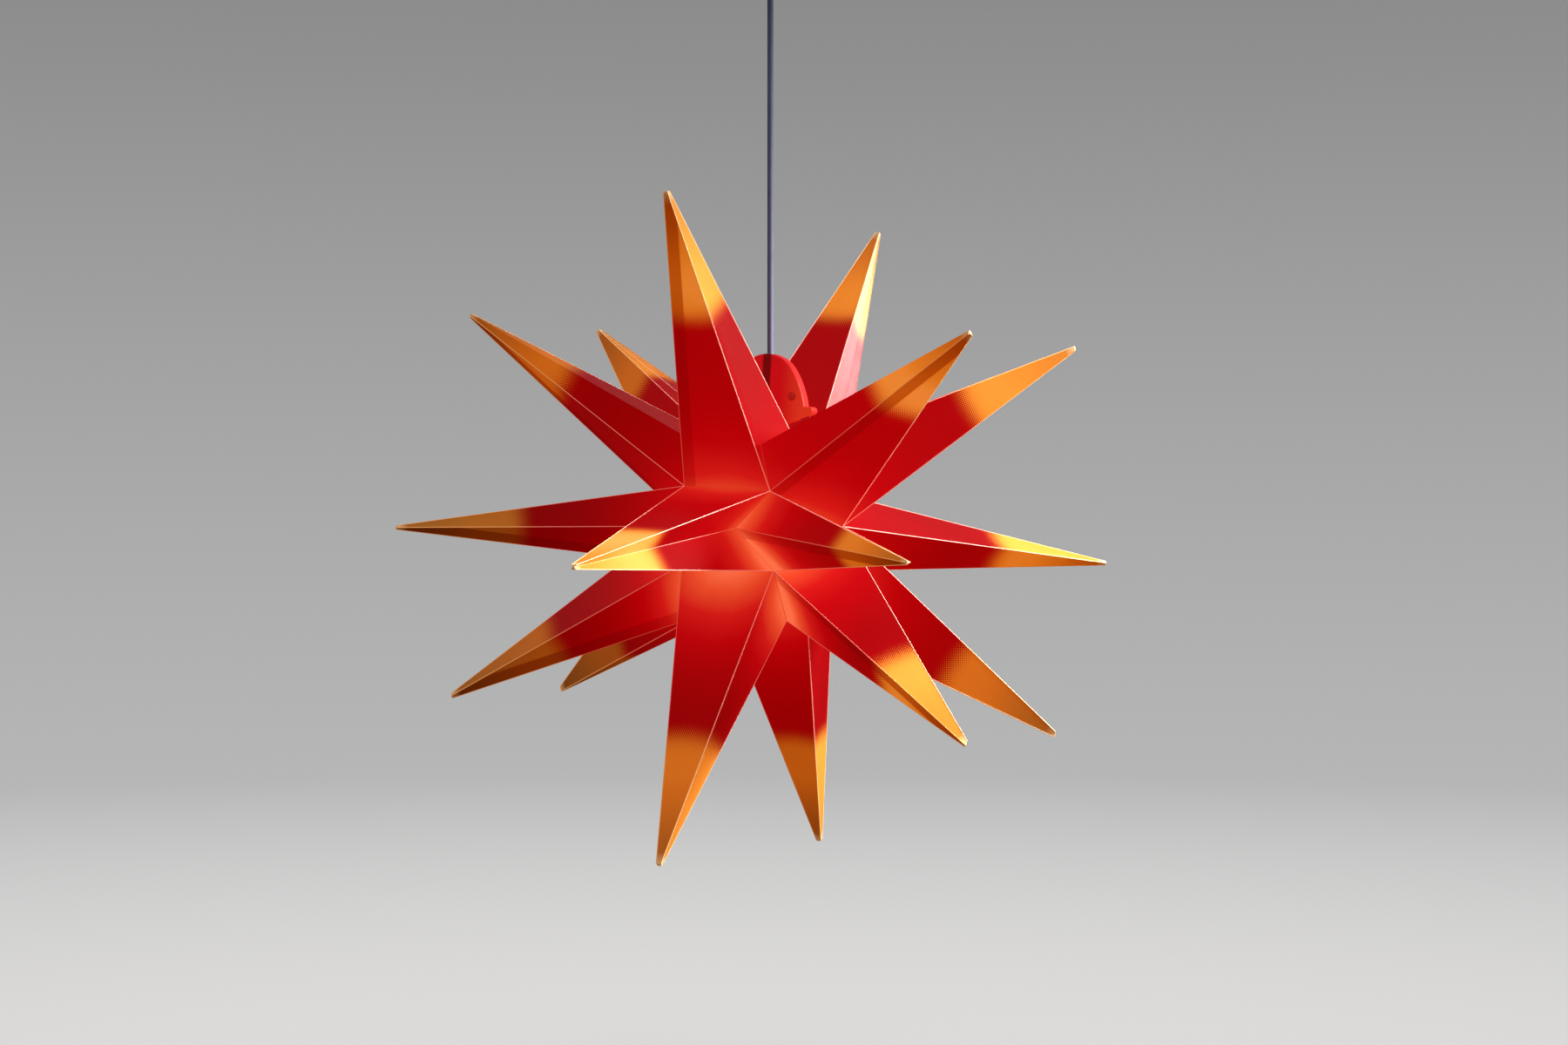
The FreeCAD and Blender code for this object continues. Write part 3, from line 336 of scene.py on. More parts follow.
LAMP_MIDDLE = Vector((0, 0, -0.0325))
LAMP_LIGHT = 0.72
LAMP_NEAR = 0.055
LAMP_FADE = 0.036
TIP_GLOW_LENGTH = 0.080
GLOW_CHANGE = 0.035
END_GLOW = 0.55
END_GLOW_RISE = 7.0
BEAD_LEAST_PALE = 0.25
BEAD_PALE_BY_GLOW = 1.8


def inside_light(name, place, reach):
    """How brightly the film's painted glow shines, as painted light from the lamp inside: most near
    the body, where the lamp is close behind it, and less in the last few centimetres of a tip."""
    at_tip, at_middle, near_body = POINT_GLOW[name.removeprefix("point_")]
    from_lamp = (place - LAMP_MIDDLE).length
    near = LAMP_LIGHT * near_body * math.exp((LAMP_NEAR - from_lamp) / LAMP_FADE)
    share = min(1.0, max(0.0, (reach - TIP_GLOW_LENGTH) / GLOW_CHANGE))
    fade_in = min(1.0, END_GLOW + END_GLOW_RISE * reach)
    return (at_tip + (at_middle - at_tip) * share) * fade_in + near


def film_point(name, tip, corner_names, flap_at, turn_at, mirror_x, mirror_y):
    """One folded point as a mesh, with the figures that its print and its painted glow are made
    from: how red the print is, the painted light inside, and the distance from the flap's fold. It
    gives back the lines of the folds and seams too, each with how pale its bead is, from its glow."""
    base = [placed_corner(each, mirror_x, mirror_y) for each in corner_names]
    blunt = Vector((tip[0] * mirror_x, tip[1] * mirror_y, tip[2]))
    if mirror_x * mirror_y < 0:
        base.reverse()
        flap_at = len(base) - 2 - flap_at
    count = len(base)
    middle = sum(base, Vector()) / count
    shrink = TIP_FLAT / (2 * CORNERS["ring"][0])
    apex = middle + (blunt - middle) / (1 - shrink)
    axis = (apex - middle).normalized()
    tops = [corner + (apex - corner) * (1 - shrink) for corner in base]
    normals = []
    for i in range(count):
        across = base[(i + 1) % count] - base[i]
        normal = across.cross(apex - base[i]).normalized()
        normals.append(normal)
    if sum(normals[i].dot((base[i] + base[(i + 1) % count]) / 2 - middle)
           for i in range(count)) < 0:
        raise ValueError(name + " is inside out")

    mesh = bpy.data.meshes.new(name)
    build = bmesh.new()
    film_uv = build.loops.layers.uv.new("film")
    red = build.verts.layers.float.new("red_print")
    glow = build.verts.layers.float.new("glow")
    bare = build.verts.layers.float.new("bare_weld")
    beside = build.loops.layers.float.new("from_flap_fold")

    def new_vert(place):
        vert = build.verts.new(place)
        reach = (place - blunt).length
        vert[red] = (reach - turn_at) / PRINT_FADE + 0.5
        vert[glow] = inside_light(name, place, reach)
        return vert

    def new_face(corners, side):
        face = build.faces.new(corners)
        fold = (apex - base[side]).normalized()
        across = normals[side].cross(fold)
        for loop in face.loops:
            offset = loop.vert.co - base[side]
            loop[film_uv].uv = (offset.dot(across), offset.dot(fold))
            loop[beside] = abs(offset.dot(across)) if side == flap_at else 1.0
        return face

    rows = []
    for row in range(ROWS + 1):
        share = row / ROWS
        ring = []
        for i in range(count):
            following = (i + 1) % count
            near = base[i].lerp(tops[i], share)
            far = base[following].lerp(tops[following], share)
            ring += [new_vert(near.lerp(far, column / COLUMNS)) for column in range(COLUMNS)]
        rows.append(ring)
    around = count * COLUMNS
    for lower, upper in zip(rows, rows[1:]):
        for step in range(around):
            following = (step + 1) % around
            new_face((lower[step], lower[following], upper[following], upper[step]),
                     step // COLUMNS)
    crown = [new_vert(blunt + (vert.co - blunt) * CROWN_SHARE + axis * CROWN_RISE)
             for vert in rows[-1]]
    peak = new_vert(blunt + axis * PEAK_RISE)
    for vert in rows[-1] + crown + [peak]:
        vert[bare] = 1.0
    for step in range(around):
        following = (step + 1) % around
        side = step // COLUMNS
        new_face((rows[-1][step], rows[-1][following], crown[following], crown[step]), side)
        new_face((crown[step], crown[following], peak), side)

    # The glued flap: a second layer of film inside the face, beside the flap's fold
    beneath = normals[flap_at] * -FLAP_SUNK
    strip = []
    for row in range(1, ROWS - 2):
        near = base[flap_at].lerp(tops[flap_at], row / ROWS)
        far = base[(flap_at + 1) % count].lerp(tops[(flap_at + 1) % count], row / ROWS)
        wide = min(FLAP_WIDTH, (far - near).length - FLAP_FROM_NEXT_FOLD)
        if wide > FLAP_LEAST:
            inward = (far - near).normalized()
            strip.append([new_vert(near + inward * FLAP_FROM_FOLD + beneath),
                          new_vert(near + inward * wide + beneath)])
    for lower, upper in zip(strip, strip[1:]):
        new_face((lower[0], lower[1], upper[1], upper[0]), flap_at)

    build.transform(HANG)
    build.to_mesh(mesh)
    build.free()
    made = link(bpy.data.objects.new("film_" + name, mesh))
    wall = made.modifiers.new("film thickness", "SOLIDIFY")
    wall.thickness = FILM
    wall.offset = -1.0
    wall.material_offset = 1
    wall.material_offset_rim = 1
    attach(made, "star")
    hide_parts(name)
    names = corner_names if mirror_x * mirror_y > 0 else tuple(reversed(corner_names))
    sunk = [(normals[i] + normals[i - 1]).normalized() * FOLD_SUNK for i in range(count)]
    # A bead is paler on a point with more painted glow: painted light. The bead on the flap's fold
    # is the least pale, as painted shade.
    at_tip = POINT_GLOW[name.removeprefix("point_")][0]
    pale = min(1.0, BEAD_LEAST_PALE + BEAD_PALE_BY_GLOW * at_tip)
    scored = [(base[i] - sunk[i], tops[i] - sunk[i], BEAD_LEAST_PALE if i == flap_at else pale)
              for i in range(count) if not names[i].endswith("shoulder")]
    welded = [(base[i] - sunk[i], base[(i + 1) % count] - sunk[(i + 1) % count], 0.0)
              for i in range(count)]
    return made, scored + welded


def attribute(tree, name):
    made = tree.nodes.new("ShaderNodeAttribute")
    made.attribute_name = name
    return made.outputs["Fac"]


def sum_up(tree, kind, first, second=None, clamp=False):
    """A Math node. Each of its terms is a socket or a number."""
    made = tree.nodes.new("ShaderNodeMath")
    made.operation = kind
    made.use_clamp = clamp
    for socket, term in zip(made.inputs, (first, second)):
        if isinstance(term, (int, float)):
            socket.default_value = term
        elif term is not None:
            tree.links.new(term, socket)
    return made.outputs["Value"]


def mixed(tree, share, first, second, kind="MIX"):
    """A colour mix. Share, first and second are sockets, colours or numbers."""
    made = tree.nodes.new("ShaderNodeMix")
    made.data_type = "RGBA"
    made.blend_type = kind
    for identifier, term in (("Factor_Float", share), ("A_Color", first), ("B_Color", second)):
        socket = [each for each in made.inputs if each.identifier == identifier][0]
        if isinstance(term, tuple):
            socket.default_value = (*term, 1)
        elif isinstance(term, (int, float)):
            socket.default_value = term
        else:
            tree.links.new(term, socket)
    return [each for each in made.outputs if each.identifier == "Result_Color"][0]


DOT_PITCH = 0.00145
DOT_DEPTH = 0.16
FLAP_EDGE_BLUR = 0.0004
RED_INK = (0.11, 0.0009, 0.0018)
TIP_INK = (0.56, 0.225, 0.034)
BARE_WELD = (0.80, 0.54, 0.28)


def printed_film(name, glow_share):
    """Film printed red and orange, with a painted glow and painted shade over the glued flap. The
    change is a screen of dots on a slanted grid.
    """
    material, principled = shader(name)
    tree = material.node_tree
    flat = tree.nodes.new("ShaderNodeUVMap")
    flat.uv_map = "film"
    slant = tree.nodes.new("ShaderNodeMapping")
    slant.inputs["Rotation"].default_value = (0, 0, math.radians(45))
    slant.inputs["Scale"].default_value = (math.tau / DOT_PITCH,) * 3
    tree.links.new(flat.outputs["UV"], slant.inputs["Vector"])
    grid = tree.nodes.new("ShaderNodeSeparateXYZ")
    tree.links.new(slant.outputs["Vector"], grid.inputs["Vector"])
    waves = sum_up(tree, "ADD", sum_up(tree, "COSINE", grid.outputs["X"]),
                   sum_up(tree, "COSINE", grid.outputs["Y"]))
    screen = sum_up(tree, "MULTIPLY_ADD", waves, DOT_DEPTH)
    screen.node.inputs[2].default_value = 0.5
    excess = sum_up(tree, "SUBTRACT", attribute(tree, "red_print"), screen)
    red_share = sum_up(tree, "MULTIPLY_ADD", excess, 2.0, clamp=True)
    red_share.node.inputs[2].default_value = 0.5

    mottle = noise(tree, 26.0, 3.0)
    red_ink = ramp(tree, mottle, [(0.3, tuple(0.93 * each for each in RED_INK)), (0.7, RED_INK)])
    tip_ink = ramp(tree, mottle, [(0.3, tuple(0.95 * each for each in TIP_INK)), (0.7, TIP_INK)])

    # The emission is painted light: the lamp inside glowing through the film, deep red to orange
    # through the red print, orange to pale yellow through the tips, and warm on the bare film at a
    # tip.
    light = sum_up(tree, "MULTIPLY", attribute(tree, "glow"), stretch(tree, mottle, 0.94, 1.06))
    red_glow = ramp(tree, light, [
        (0.0, (0.0, 0.0, 0.0)), (0.30, (0.30, 0.0, 0.0005)), (0.46, (0.46, 0.0005, 0.002)),
        (0.60, (0.60, 0.009, 0.007)), (0.77, (0.77, 0.068, 0.021)), (0.92, (0.92, 0.155, 0.06))])
    tip_glow = ramp(tree, light, [
        (0.0, (0.0, 0.0, 0.0)), (0.10, (0.06, 0.006, 0.0)), (0.20, (0.22, 0.03, 0.0)),
        (0.30, (0.43, 0.07, 0.001)), (0.40, (0.62, 0.145, 0.009)), (0.55, (0.90, 0.30, 0.07)),
        (0.72, (1.0, 0.52, 0.16))])
    through = mixed(tree, attribute(tree, "bare_weld"), mixed(tree, red_share, tip_glow, red_glow),
                    (0.28, 0.12, 0.035))
    # Over the glued flap the ink and the glow are painted darker: painted shade where the second
    # layer of film holds back the lamp's light.
    layers = tree.nodes.new("ShaderNodeMapRange")
    layers.inputs["From Min"].default_value = FLAP_WIDTH - FLAP_EDGE_BLUR
    layers.inputs["From Max"].default_value = FLAP_WIDTH + FLAP_EDGE_BLUR
    tree.links.new(attribute(tree, "from_flap_fold"), layers.inputs["Value"])
    single = layers.outputs["Result"]
    flap_ink_shade = mixed(tree, red_share, (0.72, 0.50, 0.22), (0.92, 0.9, 0.9))
    printed = mixed(tree, 1.0, mixed(tree, red_share, tip_ink, red_ink),
                    mixed(tree, single, flap_ink_shade, (1.0, 1.0, 1.0)), "MULTIPLY")
    inked = mixed(tree, attribute(tree, "bare_weld"), printed, BARE_WELD)
    tree.links.new(inked, principled.inputs["Base Color"])
    flap_glow_shade = mixed(tree, red_share, (0.62, 0.36, 0.12), (0.80, 0.6, 0.6))
    shaded = mixed(tree, 1.0, through, mixed(tree, single, flap_glow_shade, (1.0, 1.0, 1.0)),
                   "MULTIPLY")
    tree.links.new(shaded, principled.inputs["Emission Color"])
    principled.inputs["Emission Strength"].default_value = glow_share
    principled.inputs["Specular IOR Level"].default_value = 0.035
    tree.links.new(stretch(tree, noise(tree, 140.0), 0.36, 0.46), principled.inputs["Roughness"])
    bump(tree, principled, noise(tree, 90.0, 2.0), 0.00006)
    return material


# The film's inside gets a stronger painted glow than its outside.
film_outside = printed_film("film_outside", 1.0)
film_inside = printed_film("film_inside", 1.25)
fold_lines = []
film_pieces = []
for tier in ("upper", "middle", "lower"):
    for depth, mirror_y in (("front", 1), ("back", -1)):
        name = "point_%s_%s" % (tier, depth)
        made, folds = film_point(name, *FRONT_POINTS[tier], 1, mirror_y)
        film_pieces.append(made)
        fold_lines += folds
        for side, mirror_x in (("left", -1), ("right", 1)):
            name = "point_%s_%s_%s" % (tier, depth, side)
            made, folds = film_point(name, *SIDE_POINTS[tier], mirror_x, mirror_y)
            film_pieces.append(made)
            fold_lines += folds
for made in film_pieces:
    made.data.materials.append(film_outside)
    made.data.materials.append(film_inside)

# The right-hand lamp leaves out the floor and one point that hangs in shade, and the two lamps
# behind the star light one point alone
shaded = bpy.data.objects["film_point_upper_front_left"]
aim_lamp(lamp_right, "EXCLUDE", sweep, shaded)
raked = bpy.data.objects["film_point_upper_back"]
aim_lamp(lamp_behind, "INCLUDE", raked)
aim_lamp(lamp_far, "INCLUDE", raked)

# Scored folds and weld seams: the film is creased along lines from each tip to the base, and the
# film stretches at the crease, which stands up as a thin pale bead that catches the light. Its
# paleness and glow are partly the whitened crease and partly painted light: a bead is paler and
# brighter on points with more painted glow. The beads over the glued flap and round the bases,
# where the points are welded together, are darker; over the flap that is painted shade.
FOLD_BEAD = 0.00036
BEAD_STEPS = 24
BEAD_TURNS_AT = 0.096


def new_tree(name, sizes):
    """A geometry tree with a mesh going in and out, and named number inputs."""
    tree = bpy.data.node_groups.new(name, "GeometryNodeTree")
    tree.interface.new_socket("Geometry", in_out="INPUT", socket_type="NodeSocketGeometry")
    tree.interface.new_socket("Geometry", in_out="OUTPUT", socket_type="NodeSocketGeometry")
    for label, value in sizes.items():
        whole = isinstance(value, int)
        socket = tree.interface.new_socket(
            label, in_out="INPUT", socket_type="NodeSocketInt" if whole else "NodeSocketFloat")
        socket.default_value = value
    inlet = tree.nodes.new("NodeGroupInput")
    outlet = tree.nodes.new("NodeGroupOutput")
    return tree, inlet, outlet


def grow(tree, kind, **inputs):
    """A geometry node whose inputs are given by name, as sockets or values."""
    made = tree.nodes.new(kind)
    for label, term in inputs.items():
        socket = made.inputs[label.replace("_", " ")]
        if isinstance(term, bpy.types.NodeSocket):
            tree.links.new(term, socket)
        else:
            socket.default_value = term
    return made


def close_tree(tree, outlet, geometry, material):
    """Make instances real and give everything its finish."""
    real = grow(tree, "GeometryNodeRealizeInstances", Geometry=geometry)
    done = grow(tree, "GeometryNodeSetMaterial", Geometry=real.outputs["Geometry"])
    done.inputs["Material"].default_value = material
    tree.links.new(done.outputs["Geometry"], outlet.inputs["Geometry"])


def grown(name, source, tree, body, replaced=()):
    """Run a tree on a source mesh, keep the result as a plain mesh and let it ride."""
    seed = link(bpy.data.objects.new(name + "_source", source))
    modifier = seed.modifiers.new("grow", "NODES")
    modifier.node_group = tree
    graph = bpy.context.evaluated_depsgraph_get()
    mesh = bpy.data.meshes.new_from_object(seed.evaluated_get(graph))
    bpy.data.objects.remove(seed)
    mesh.name = name
    made = link(bpy.data.objects.new(name, mesh))
    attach(made, body)
    if replaced:
        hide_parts(*replaced)
    return made


crease, crease_shader = shader("scored_fold")
crease_tree = crease.node_tree
crease_print = attribute(crease_tree, "red_print")
crease_pale = attribute(crease_tree, "stretched")
# The bead's colour and glow turn paler with its paleness figure: partly the whitened crease and
# partly painted light.
crease_tree.links.new(mixed(
    crease_tree, crease_pale,
    ramp(crease_tree, crease_print, [(0.0, (0.74, 0.32, 0.06)), (1.0, (0.24, 0.015, 0.012))]),
    ramp(crease_tree, crease_print, [(0.0, (0.95, 0.72, 0.42)), (1.0, (0.92, 0.52, 0.44))])),
    crease_shader.inputs["Base Color"])
crease_tree.links.new(mixed(
    crease_tree, crease_pale,
    ramp(crease_tree, crease_print, [(0.0, (0.34, 0.08, 0.004)), (1.0, (0.42, 0.02, 0.006))]),
    ramp(crease_tree, crease_print, [(0.0, (0.42, 0.17, 0.03)), (1.0, (0.46, 0.09, 0.06))])),
    crease_shader.inputs["Emission Color"])
crease_shader.inputs["Emission Strength"].default_value = 1.0
crease_shader.inputs["Roughness"].default_value = 0.35
bead_tree, bead_in, bead_out = new_tree("fold_beads", {"Bead Radius": FOLD_BEAD, "Sides": 6})
bead_path = grow(bead_tree, "GeometryNodeMeshToCurve", Mesh=bead_in.outputs["Geometry"])
bead_ring = grow(bead_tree, "GeometryNodeCurvePrimitiveCircle",
                 Resolution=bead_in.outputs["Sides"], Radius=bead_in.outputs["Bead Radius"])
bead_sweep = grow(bead_tree, "GeometryNodeCurveToMesh", Curve=bead_path.outputs["Curve"],
                  Profile_Curve=bead_ring.outputs["Curve"], Fill_Caps=True)
close_tree(bead_tree, bead_out, bead_sweep.outputs["Mesh"], crease)
fold_mesh = bpy.data.meshes.new("fold_paths")
fold_build = bmesh.new()
fold_red = fold_build.verts.layers.float.new("red_print")
fold_pale = fold_build.verts.layers.float.new("stretched")
laid = set()
for low, high, paleness in fold_lines:
    ends = frozenset(tuple(round(each, 3) for each in end) for end in (low, high))
    if ends in laid:
        continue
    laid.add(ends)
    before = None
    for part in range(BEAD_STEPS + 1):
        place = low.lerp(high, part / BEAD_STEPS)
        vert = fold_build.verts.new(place)
        vert[fold_pale] = paleness
        reach = (place - high).length
        vert[fold_red] = (reach - BEAD_TURNS_AT) / PRINT_FADE + 0.5 if paleness else 1.0
        if before:
            fold_build.edges.new((before, vert))
        before = vert
fold_build.transform(HANG)
fold_build.to_mesh(fold_mesh)
fold_build.free()
grown("fold_beads", fold_mesh, bead_tree, "star")

# Hanging tabs: a strip of the same film welded into each side seam. Its end is punched, and
# hooks on a pin between the holder's halves.
tab_film, tab_shader = shader("tab_film")
tab_tree = tab_film.node_tree
tab_shade = noise(tab_tree, 40.0)
tab_tree.links.new(ramp(tab_tree, tab_shade, [(0.3, (0.22, 0.003, 0.004)),
                                              (0.7, (0.27, 0.004, 0.005))]),
                   tab_shader.inputs["Base Color"])
# The tab's red glow is painted light from the lamp inside the star.
tab_tree.links.new(ramp(tab_tree, tab_shade, [(0.3, (0.22, 0.003, 0.004)),
                                              (0.7, (0.27, 0.006, 0.006))]),
                   tab_shader.inputs["Emission Color"])
tab_shader.inputs["Emission Strength"].default_value = 0.8
tab_shader.inputs["Roughness"].default_value = 0.42
coat(tab_film, "hanging_tab_left", "hanging_tab_right")

# Holder: two moulded halves of red translucent plastic, screwed together round the cord. The
# lamp's light coming up through them is painted on as a glow that grows towards the rim, and the
# cord inside casts a painted shadow, a dark band.
STAR_ACROSS = HANG.to_3x3() @ Vector((1, 0, 0))


def along(tree, direction, start, low, high):
    """How far a place on the piece is along a direction, from 0 at low to 1 at high metres."""
    dot = tree.nodes.new("ShaderNodeVectorMath")
    dot.operation = "DOT_PRODUCT"
    dot.inputs[1].default_value = direction
    tree.links.new(tree.nodes.new("ShaderNodeTexCoord").outputs["Object"], dot.inputs[0])
    far = sum_up(tree, "ABSOLUTE", sum_up(tree, "SUBTRACT", dot.outputs["Value"],
                                          start.dot(direction)))
    scale = tree.nodes.new("ShaderNodeMapRange")
    scale.inputs["From Min"].default_value = low
    scale.inputs["From Max"].default_value = high
    scale.interpolation_type = "SMOOTHSTEP"
    tree.links.new(far, scale.inputs["Value"])
    return scale.outputs["Result"]


holder_plastic, holder_shader = shader("holder_plastic")
holder_tree = holder_plastic.node_tree
holder_shade = noise(holder_tree, 30.0, 3.0)
out_of_cord_shadow = along(holder_tree, STAR_ACROSS, MOUTH, 0.0026, 0.0044)
toward_rim = along(holder_tree, STAR_ACROSS, MOUTH, 0.010, 0.034)
holder_tree.links.new(ramp(holder_tree, holder_shade, [(0.3, (0.22, 0.004, 0.007)),
                                                       (0.7, (0.26, 0.005, 0.008))]),
                      holder_shader.inputs["Base Color"])
# Painted light: the glow is brighter towards the rim, and a painted shadow of the cord darkens a
# narrow band over it.
holder_glow = mixed(holder_tree, toward_rim, (0.44, 0.002, 0.004), (0.54, 0.030, 0.010))
holder_tree.links.new(mixed(holder_tree, out_of_cord_shadow, (0.055, 0.0, 0.0),
                            mixed(holder_tree, 1.0, holder_glow,
                                  stretch(holder_tree, holder_shade, 0.92, 1.06), "MULTIPLY")),
                      holder_shader.inputs["Emission Color"])
holder_shader.inputs["Emission Strength"].default_value = 1.0
holder_tree.links.new(stretch(holder_tree, noise(holder_tree, 200.0), 0.34, 0.46),
                      holder_shader.inputs["Roughness"])
holder_shader.inputs["Specular IOR Level"].default_value = 0.12
bump(holder_tree, holder_shader, noise(holder_tree, 500.0), 0.00003)
coat(holder_plastic, "holder_front", "holder_back")

# Screws: pressed steel screws with a domed head, a cross recess and a rolled thread. Two hold
# the holder's halves, two the ceiling cup, and one clamps the cord in its grip.
TURNED_SIDES = 48


def turned(mesh, profile):
    """Turn a profile of (radius, height) about Z into mesh, from the bottom to the top."""
    lathe = []
    for radius, height in profile:
        if radius == 0.0:
            lathe.append([mesh.verts.new((0, 0, height))] * TURNED_SIDES)
            continue
        lathe.append([mesh.verts.new((radius * math.cos(step * math.tau / TURNED_SIDES),
                                      radius * math.sin(step * math.tau / TURNED_SIDES), height))
                      for step in range(TURNED_SIDES)])
    for lower, upper in zip(lathe, lathe[1:]):
        for step in range(TURNED_SIDES):
            following = (step + 1) % TURNED_SIDES
            ring = [lower[step], lower[following], upper[following], upper[step]]
            mesh.faces.new(list(dict.fromkeys(ring)))


SCREW_PITCH = 0.0005
THREAD_ROOT = 0.84
RECESS_FOOT = 0.62
WELD_WITHIN = 0.000004


def cross_screw(name, head, height, shank, length):
    """A screw with its head's underside at the origin and its shank down the Z axis."""
    build = bmesh.new()
    threads = int(length / SCREW_PITCH)
    profile = [(0.0, -length), (shank * 0.5, -length)]
    profile += [(shank * (1.0 if turn % 2 else THREAD_ROOT),
                 -length + (turn + 1) * length / (threads + 2)) for turn in range(threads)]
    profile += [(shank * THREAD_ROOT, 0.0), (head * 0.96, 0.0), (head, height * 0.16),
                (head, height * 0.34), (head * 0.93, height * 0.60), (head * 0.74, height * 0.83),
                (head * 0.45, height * 0.96), (0.0, height)]
    turned(build, profile)
    bmesh.ops.recalc_face_normals(build, faces=build.faces)
    body = bpy.data.meshes.new(name)
    build.to_mesh(body)
    build.free()
    blank = link(bpy.data.objects.new(name, body))
    cut = bmesh.new()
    for turn in (0, 1):
        slot = bmesh.ops.create_cube(cut, size=1.0, matrix=Matrix.Translation((0, 0, height))
                                     @ Matrix.Rotation(turn * math.pi / 2, 4, "Z")
                                     @ Matrix.Diagonal((head * 1.15, head * 0.24, height * 1.1, 1)))
        for vert in slot["verts"]:
            if vert.co.z < height:
                vert.co.x *= RECESS_FOOT
                vert.co.y *= RECESS_FOOT
    cross = bpy.data.meshes.new(name + "_cross")
    cut.to_mesh(cross)
    cut.free()
    cutter = link(bpy.data.objects.new(name + "_cross", cross))
    recess = blank.modifiers.new("cross recess", "BOOLEAN")
    recess.operation = "DIFFERENCE"
    recess.solver = "EXACT"
    recess.use_self = True
    recess.object = cutter
    graph = bpy.context.evaluated_depsgraph_get()
    made = bpy.data.meshes.new_from_object(blank.evaluated_get(graph))
    bpy.data.objects.remove(blank)
    bpy.data.objects.remove(cutter)
    mend = bmesh.new()
    mend.from_mesh(made)
    bmesh.ops.remove_doubles(mend, verts=mend.verts, dist=WELD_WITHIN)
    bmesh.ops.recalc_face_normals(mend, faces=mend.faces)
    mend.to_mesh(made)
    mend.free()
    made.name = name
    return link(bpy.data.objects.new(name, made))


def screw_tree(screw, material):
    """Put one screw on each seat, with its head the way that the seat's outward arrow points."""
    tree, inlet, outlet = new_tree(screw.name + "_on_seats", {"Size": 1.0})
    arrow = grow(tree, "GeometryNodeInputNamedAttribute")
    arrow.data_type = "FLOAT_VECTOR"
    arrow.inputs["Name"].default_value = "outward"
    aim = grow(tree, "FunctionNodeAlignRotationToVector", Vector=arrow.outputs["Attribute"])
    aim.axis = "Z"
    shape = grow(tree, "GeometryNodeObjectInfo", Object=screw)
    placed = grow(tree, "GeometryNodeInstanceOnPoints", Points=inlet.outputs["Geometry"],
                  Instance=shape.outputs["Geometry"], Rotation=aim.outputs["Rotation"],
                  Scale=inlet.outputs["Size"])
    close_tree(tree, outlet, placed.outputs["Instances"], material)
    return tree


def screws(name, body, material, seats, sizes, placed=Matrix()):
    """Screws of one size. A seat is a place and the way that the head looks."""
    screw = cross_screw(name + "_blank", *sizes)
    points = bmesh.new()
    outward = points.verts.layers.float_vector.new("outward")
    for place, way in seats:
        points.verts.new(placed @ Vector(place))[outward] = placed.to_3x3() @ Vector(way)
    mesh = bpy.data.meshes.new(name + "_seats")
    points.to_mesh(mesh)
    points.free()
    grown(name + "_pressed", mesh, screw_tree(screw, material), body,
          replaced=(name,))
    bpy.data.objects.remove(screw)


zinc = finish_coat("screw_steel", (0.50, 0.50, 0.52), (0.62, 0.62, 0.64), 300.0, 0.32,
                   0.00001, metal=1.0)
# The holder's screws are tinted red and glow red: painted reflection and painted light from the
# glowing holder round them.
dulled_steel = finish_coat("dulled_steel", (0.20, 0.06, 0.05), (0.28, 0.09, 0.08), 300.0, 0.46,
                           0.00001, metal=1.0, specular=0.2)
lit_head = dulled_steel.node_tree.nodes["Principled BSDF"]
lit_head.inputs["Emission Color"].default_value = (0.26, 0.004, 0.004, 1)
lit_head.inputs["Emission Strength"].default_value = 1.0
screws("holder_screws", "star", dulled_steel,
       [((side * 0.0219, -0.0028, 0.102), (0, -1, 0)) for side in (-1, 1)],
       (0.0033, 0.0014, 0.0015, 0.0068), HANG)
screws("cup_screws", "ceiling", zinc,
       [((side * 0.045, 0, -0.008), (side, 0, 0)) for side in (-1, 1)],
       (0.0030, 0.0022, 0.0015, 0.0040))
screws("grip_screw", "ceiling", zinc, [((0, 0.0095, -0.055), (0, 1, 0))],
       (0.0023, 0.0016, 0.0015, 0.0070))
coat(zinc, "grip_nut", "ceiling_bracket")

# Lampholder: a white moulded cap and barrel round a pale insulator, with a plated sleeve
# that takes the lamp's thread and a sprung brass contact in the middle.
white_moulding = finish_coat("lampholder_plastic", (0.74, 0.72, 0.68), (0.82, 0.80, 0.76), 80.0,
                             0.34, 0.00002)
coat(white_moulding, "lampholder_cap", "lampholder_barrel")


def ribs(name, body, material, circle, count, radius, low, high, placed=Matrix()):
    """Moulded grip ribs: rounded bars set round a circle, half sunk in the piece they are on."""
    tree, inlet, outlet = new_tree(name + "_round", {"Ribs": count, "Circle": circle,
                                                     "Rib Radius": radius, "Length": high - low})
    places = grow(tree, "GeometryNodeMeshCircle", Vertices=inlet.outputs["Ribs"],
                  Radius=inlet.outputs["Circle"])
    bar = grow(tree, "GeometryNodeMeshCylinder", Vertices=10, Radius=inlet.outputs["Rib Radius"],
               Depth=inlet.outputs["Length"])
    set_up = grow(tree, "GeometryNodeInstanceOnPoints", Points=places.outputs["Mesh"],
                  Instance=bar.outputs["Mesh"])
    level = grow(tree, "GeometryNodeTransform", Geometry=set_up.outputs["Instances"])
    level.inputs["Translation"].default_value = (0, 0, (low + high) / 2)
    close_tree(tree, outlet, level.outputs["Geometry"], material)
    seat = bpy.data.meshes.new(name + "_seat")
    made = grown(name, seat, tree, body)
    made.data.transform(placed)
    made.data.shade_smooth()


ribs("lampholder_ribs", "star", white_moulding, 0.0138, 28, 0.00055,
     0.0060, 0.0365, HANG)
insulator = finish_coat("insulator", (0.66, 0.62, 0.54), (0.74, 0.71, 0.64), 120.0, 0.55, 0.00003)
coat(insulator, "lampholder_insert")
nickel = finish_coat("thread_shell", (0.58, 0.57, 0.55), (0.70, 0.69, 0.67), 200.0, 0.22,
                     0.00001, metal=1.0)


THREAD_PITCH = 0.0028
THREAD_LEVELS = 110
THREAD_SIDES = 64


